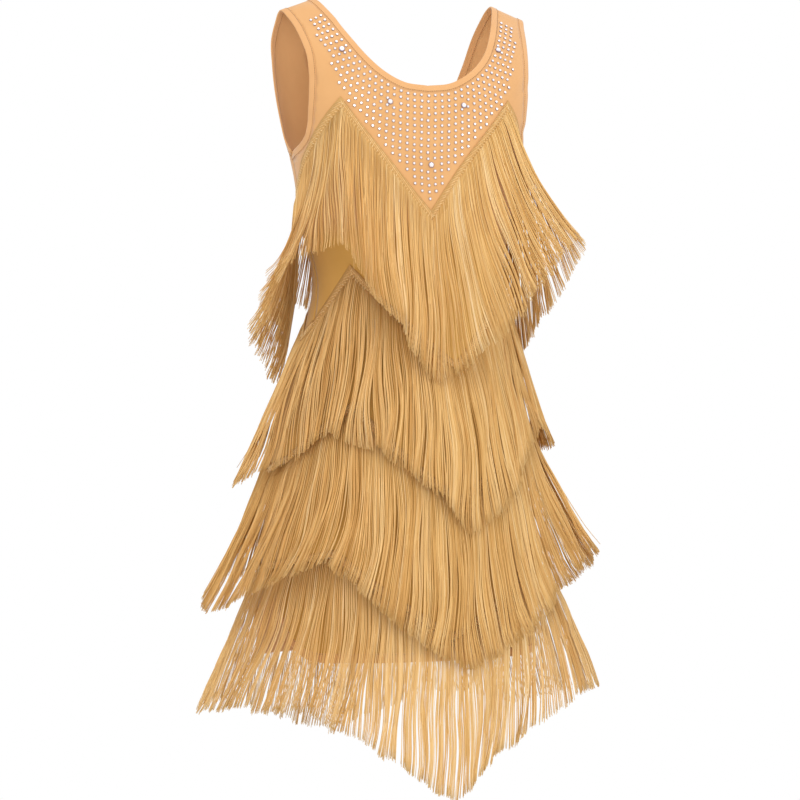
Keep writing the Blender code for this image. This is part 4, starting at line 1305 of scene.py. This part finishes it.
def stoneMesh(centres, normals, diameters, random):
    # a cut flat-back: an eight-sided table, a ring of sixteen crown facets and a short girdle, with
    # corner = centre + radius * (cos * right + sin * up) + height * normal
    count, sides, rings = len(centres), stoneSizes["sides"], stoneSizes["rings"]
    step = 2 * np.pi / sides
    spin = random.uniform(0, step, count)
    right = unitVectors(np.cross(normals, np.array([0.0, 0.0, 1.0])))
    up = np.cross(right, normals)
    corners = []
    for share, height, twist, _ in rings:
        angle = spin[:, None] + (np.arange(sides) * step)[None, :] + twist * step
        flat = np.cos(angle)[..., None] * right[:, None] + np.sin(angle)[..., None] * up[:, None]
        rise = (height * stoneSizes["height"] * diameters)[:, None, None] * normals[:, None]
        corners.append(centres[:, None] + share * (diameters / 2)[:, None, None] * flat + rise)
    corners = np.concatenate(corners, axis=1).reshape(-1, 3)
    base = np.arange(count)[:, None, None] * sides * len(rings)
    k = np.arange(sides)
    following = (k + 1) % sides
    edge, back = sides + k, 2 * sides + k
    edgeNext, backNext = sides + following, 2 * sides + following
    crown = np.concatenate([np.stack([k, edge, following], axis=1),
                            np.stack([following, edge, edgeNext], axis=1)])
    girdle = np.stack([edge, back, backNext, edgeNext], axis=1)
    faces = [base[:, 0] + k, (base + crown[None]).reshape(-1, 3),
             (base + girdle[None]).reshape(-1, 4), (base[:, 0] + back)[:, ::-1]]
    # the last column of each ring is the tone of its painted reflection
    tones = np.repeat([ring[3] for ring in rings], sides)
    uv = np.stack([np.tile(tones, count), np.repeat(random.uniform(0, 1, count), len(tones))], axis=-1)
    return corners, facesOutward(corners, faces), uv


def makeStones():
    # the rows with room made for the larger stones, each a little out of its place and size
    random = np.random.default_rng(23)
    x, around, run = stonePlaces()
    bigX, bigDrop = np.array(stoneSizes["big"]).T
    bigRun = runAtDrop(bigDrop)
    bigAround = np.sign(bigX) * aroundAtWidth(np.abs(bigX), bigRun)
    distance = np.hypot(x[:, None] - bigX[None, :], run[:, None] - bigRun[None, :])
    clear = distance.min(axis=1) > stoneSizes["bigRoom"]
    unevenAround, unevenRun, unevenSize = stoneSizes["uneven"]
    around = np.concatenate([around[clear], bigAround])
    around = around + random.normal(0, unevenAround, len(around))
    run = np.concatenate([run[clear], bigRun]) + random.normal(0, unevenRun, len(around))
    diameters = np.concatenate([np.full(clear.sum(), stoneSizes["diameter"]),
                                np.full(len(bigX), stoneSizes["bigDiameter"])])
    diameters = diameters * random.uniform(1 - unevenSize, 1 + unevenSize, len(diameters))
    centres = clothPoint(around, run, stoneSizes["lift"])
    shape = stoneMesh(centres, clothNormal(around, run), diameters, random)
    print("rhinestones:", len(around))
    return addPiece("rhinestones", shape, [rhinestone], smooth=False)


stones = makeStones()
# Floor, light and camera
studio = {
    "floorHeight": -1.40,
    "floorRadius": 3.4,
    "floorPoints": 96,
    "floorLow": (0.8514, 0.8514, 0.8514),
    "floorHigh": (0.86, 0.86, 0.86),
    "floorPatches": 3.0,
    "worldLight": 0.80,
    "key": ((-2.0, -3.4, 1.2), 2.2, 62.0),      # place, size, watts
    "fill": ((2.6, -3.0, 0.2), 2.4, 30.0),
    "top": ((0.2, -0.4, 2.4), 2.0, 16.0),
    "lookAt": (0.0, 0.0, -0.480),
    "cameraAzimuth": -21.0,
    "cameraDistance": 4.0,
    "cameraLeft": 0.003,
    "lens": 150.0,
    "sensorWidth": 36.0,
    "farthest": 100.0,
}


def makeFloor():
    # a flat disc: a fan of points round its middle
    count = studio["floorPoints"]
    turn = np.linspace(0, 2 * np.pi, count, endpoint=False)
    corners = np.stack([np.cos(turn), np.sin(turn), np.zeros(count)], axis=-1) * studio["floorRadius"]
    corners[:, 2] = studio["floorHeight"]
    mesh = meshFromArrays("floor", corners, [np.arange(count)[None, :]], smooth=False)
    material, tree, shader = newMaterial("paleFloor", Roughness=0.9)
    place = tree.nodes.new("ShaderNodeTexCoord").outputs["Object"]
    patches = noiseNode(tree, place, studio["floorPatches"])
    colour = mottled(tree, patches, studio["floorLow"], studio["floorHigh"])
    tree.links.new(colour, shader.inputs["Base Color"])
    mesh.materials.append(material)
    placed("floor", mesh)


def makeLight(name, place, size, watts):
    # a square soft light turned to the middle of the dress
    light = bpy.data.lights.new(name, "AREA")
    light.shape = "SQUARE"
    light.size = size
    light.energy = watts
    lamp = placed(name, light)
    lamp.location = place
    towards = Vector(studio["lookAt"]) - Vector(place)
    lamp.rotation_euler = towards.to_track_quat("-Z", "Y").to_euler()


def makeWorld():
    # the camera sees white; the light that it gives is set apart
    world = bpy.data.worlds.new("studio")
    bpy.context.scene.world = world
    world.use_nodes = True
    tree = world.node_tree
    background = tree.nodes["Background"]
    background.inputs["Color"].default_value = (1.0, 1.0, 1.0, 1.0)
    path = tree.nodes.new("ShaderNodeLightPath")
    strength = mathNode(tree, "MULTIPLY_ADD", path.outputs["Is Camera Ray"],
                        1.0 - studio["worldLight"], studio["worldLight"])
    tree.links.new(strength, background.inputs["Strength"])


def makeCamera():
    # level, at eye = lookAt + back * distance - right * cameraLeft
    camera = bpy.data.cameras.new("camera")
    camera.lens = studio["lens"]
    camera.sensor_width = studio["sensorWidth"]
    camera.clip_end = studio["farthest"]
    azimuth = np.radians(studio["cameraAzimuth"])
    right = np.array([np.cos(azimuth), np.sin(azimuth), 0.0])
    back = np.array([np.sin(azimuth), -np.cos(azimuth), 0.0])
    eye = np.array(studio["lookAt"]) + back * studio["cameraDistance"] - right * studio["cameraLeft"]
    seat = placed("camera", camera)
    seat.location = eye
    seat.rotation_euler = (np.pi / 2, 0.0, azimuth)
    bpy.context.scene.camera = seat


makeFloor()
for lampName in ("key", "fill", "top"):
    makeLight(lampName, *studio[lampName])
makeWorld()
makeCamera()
bpy.context.scene.view_settings.view_transform = "Standard"
print("floor, light and camera made")
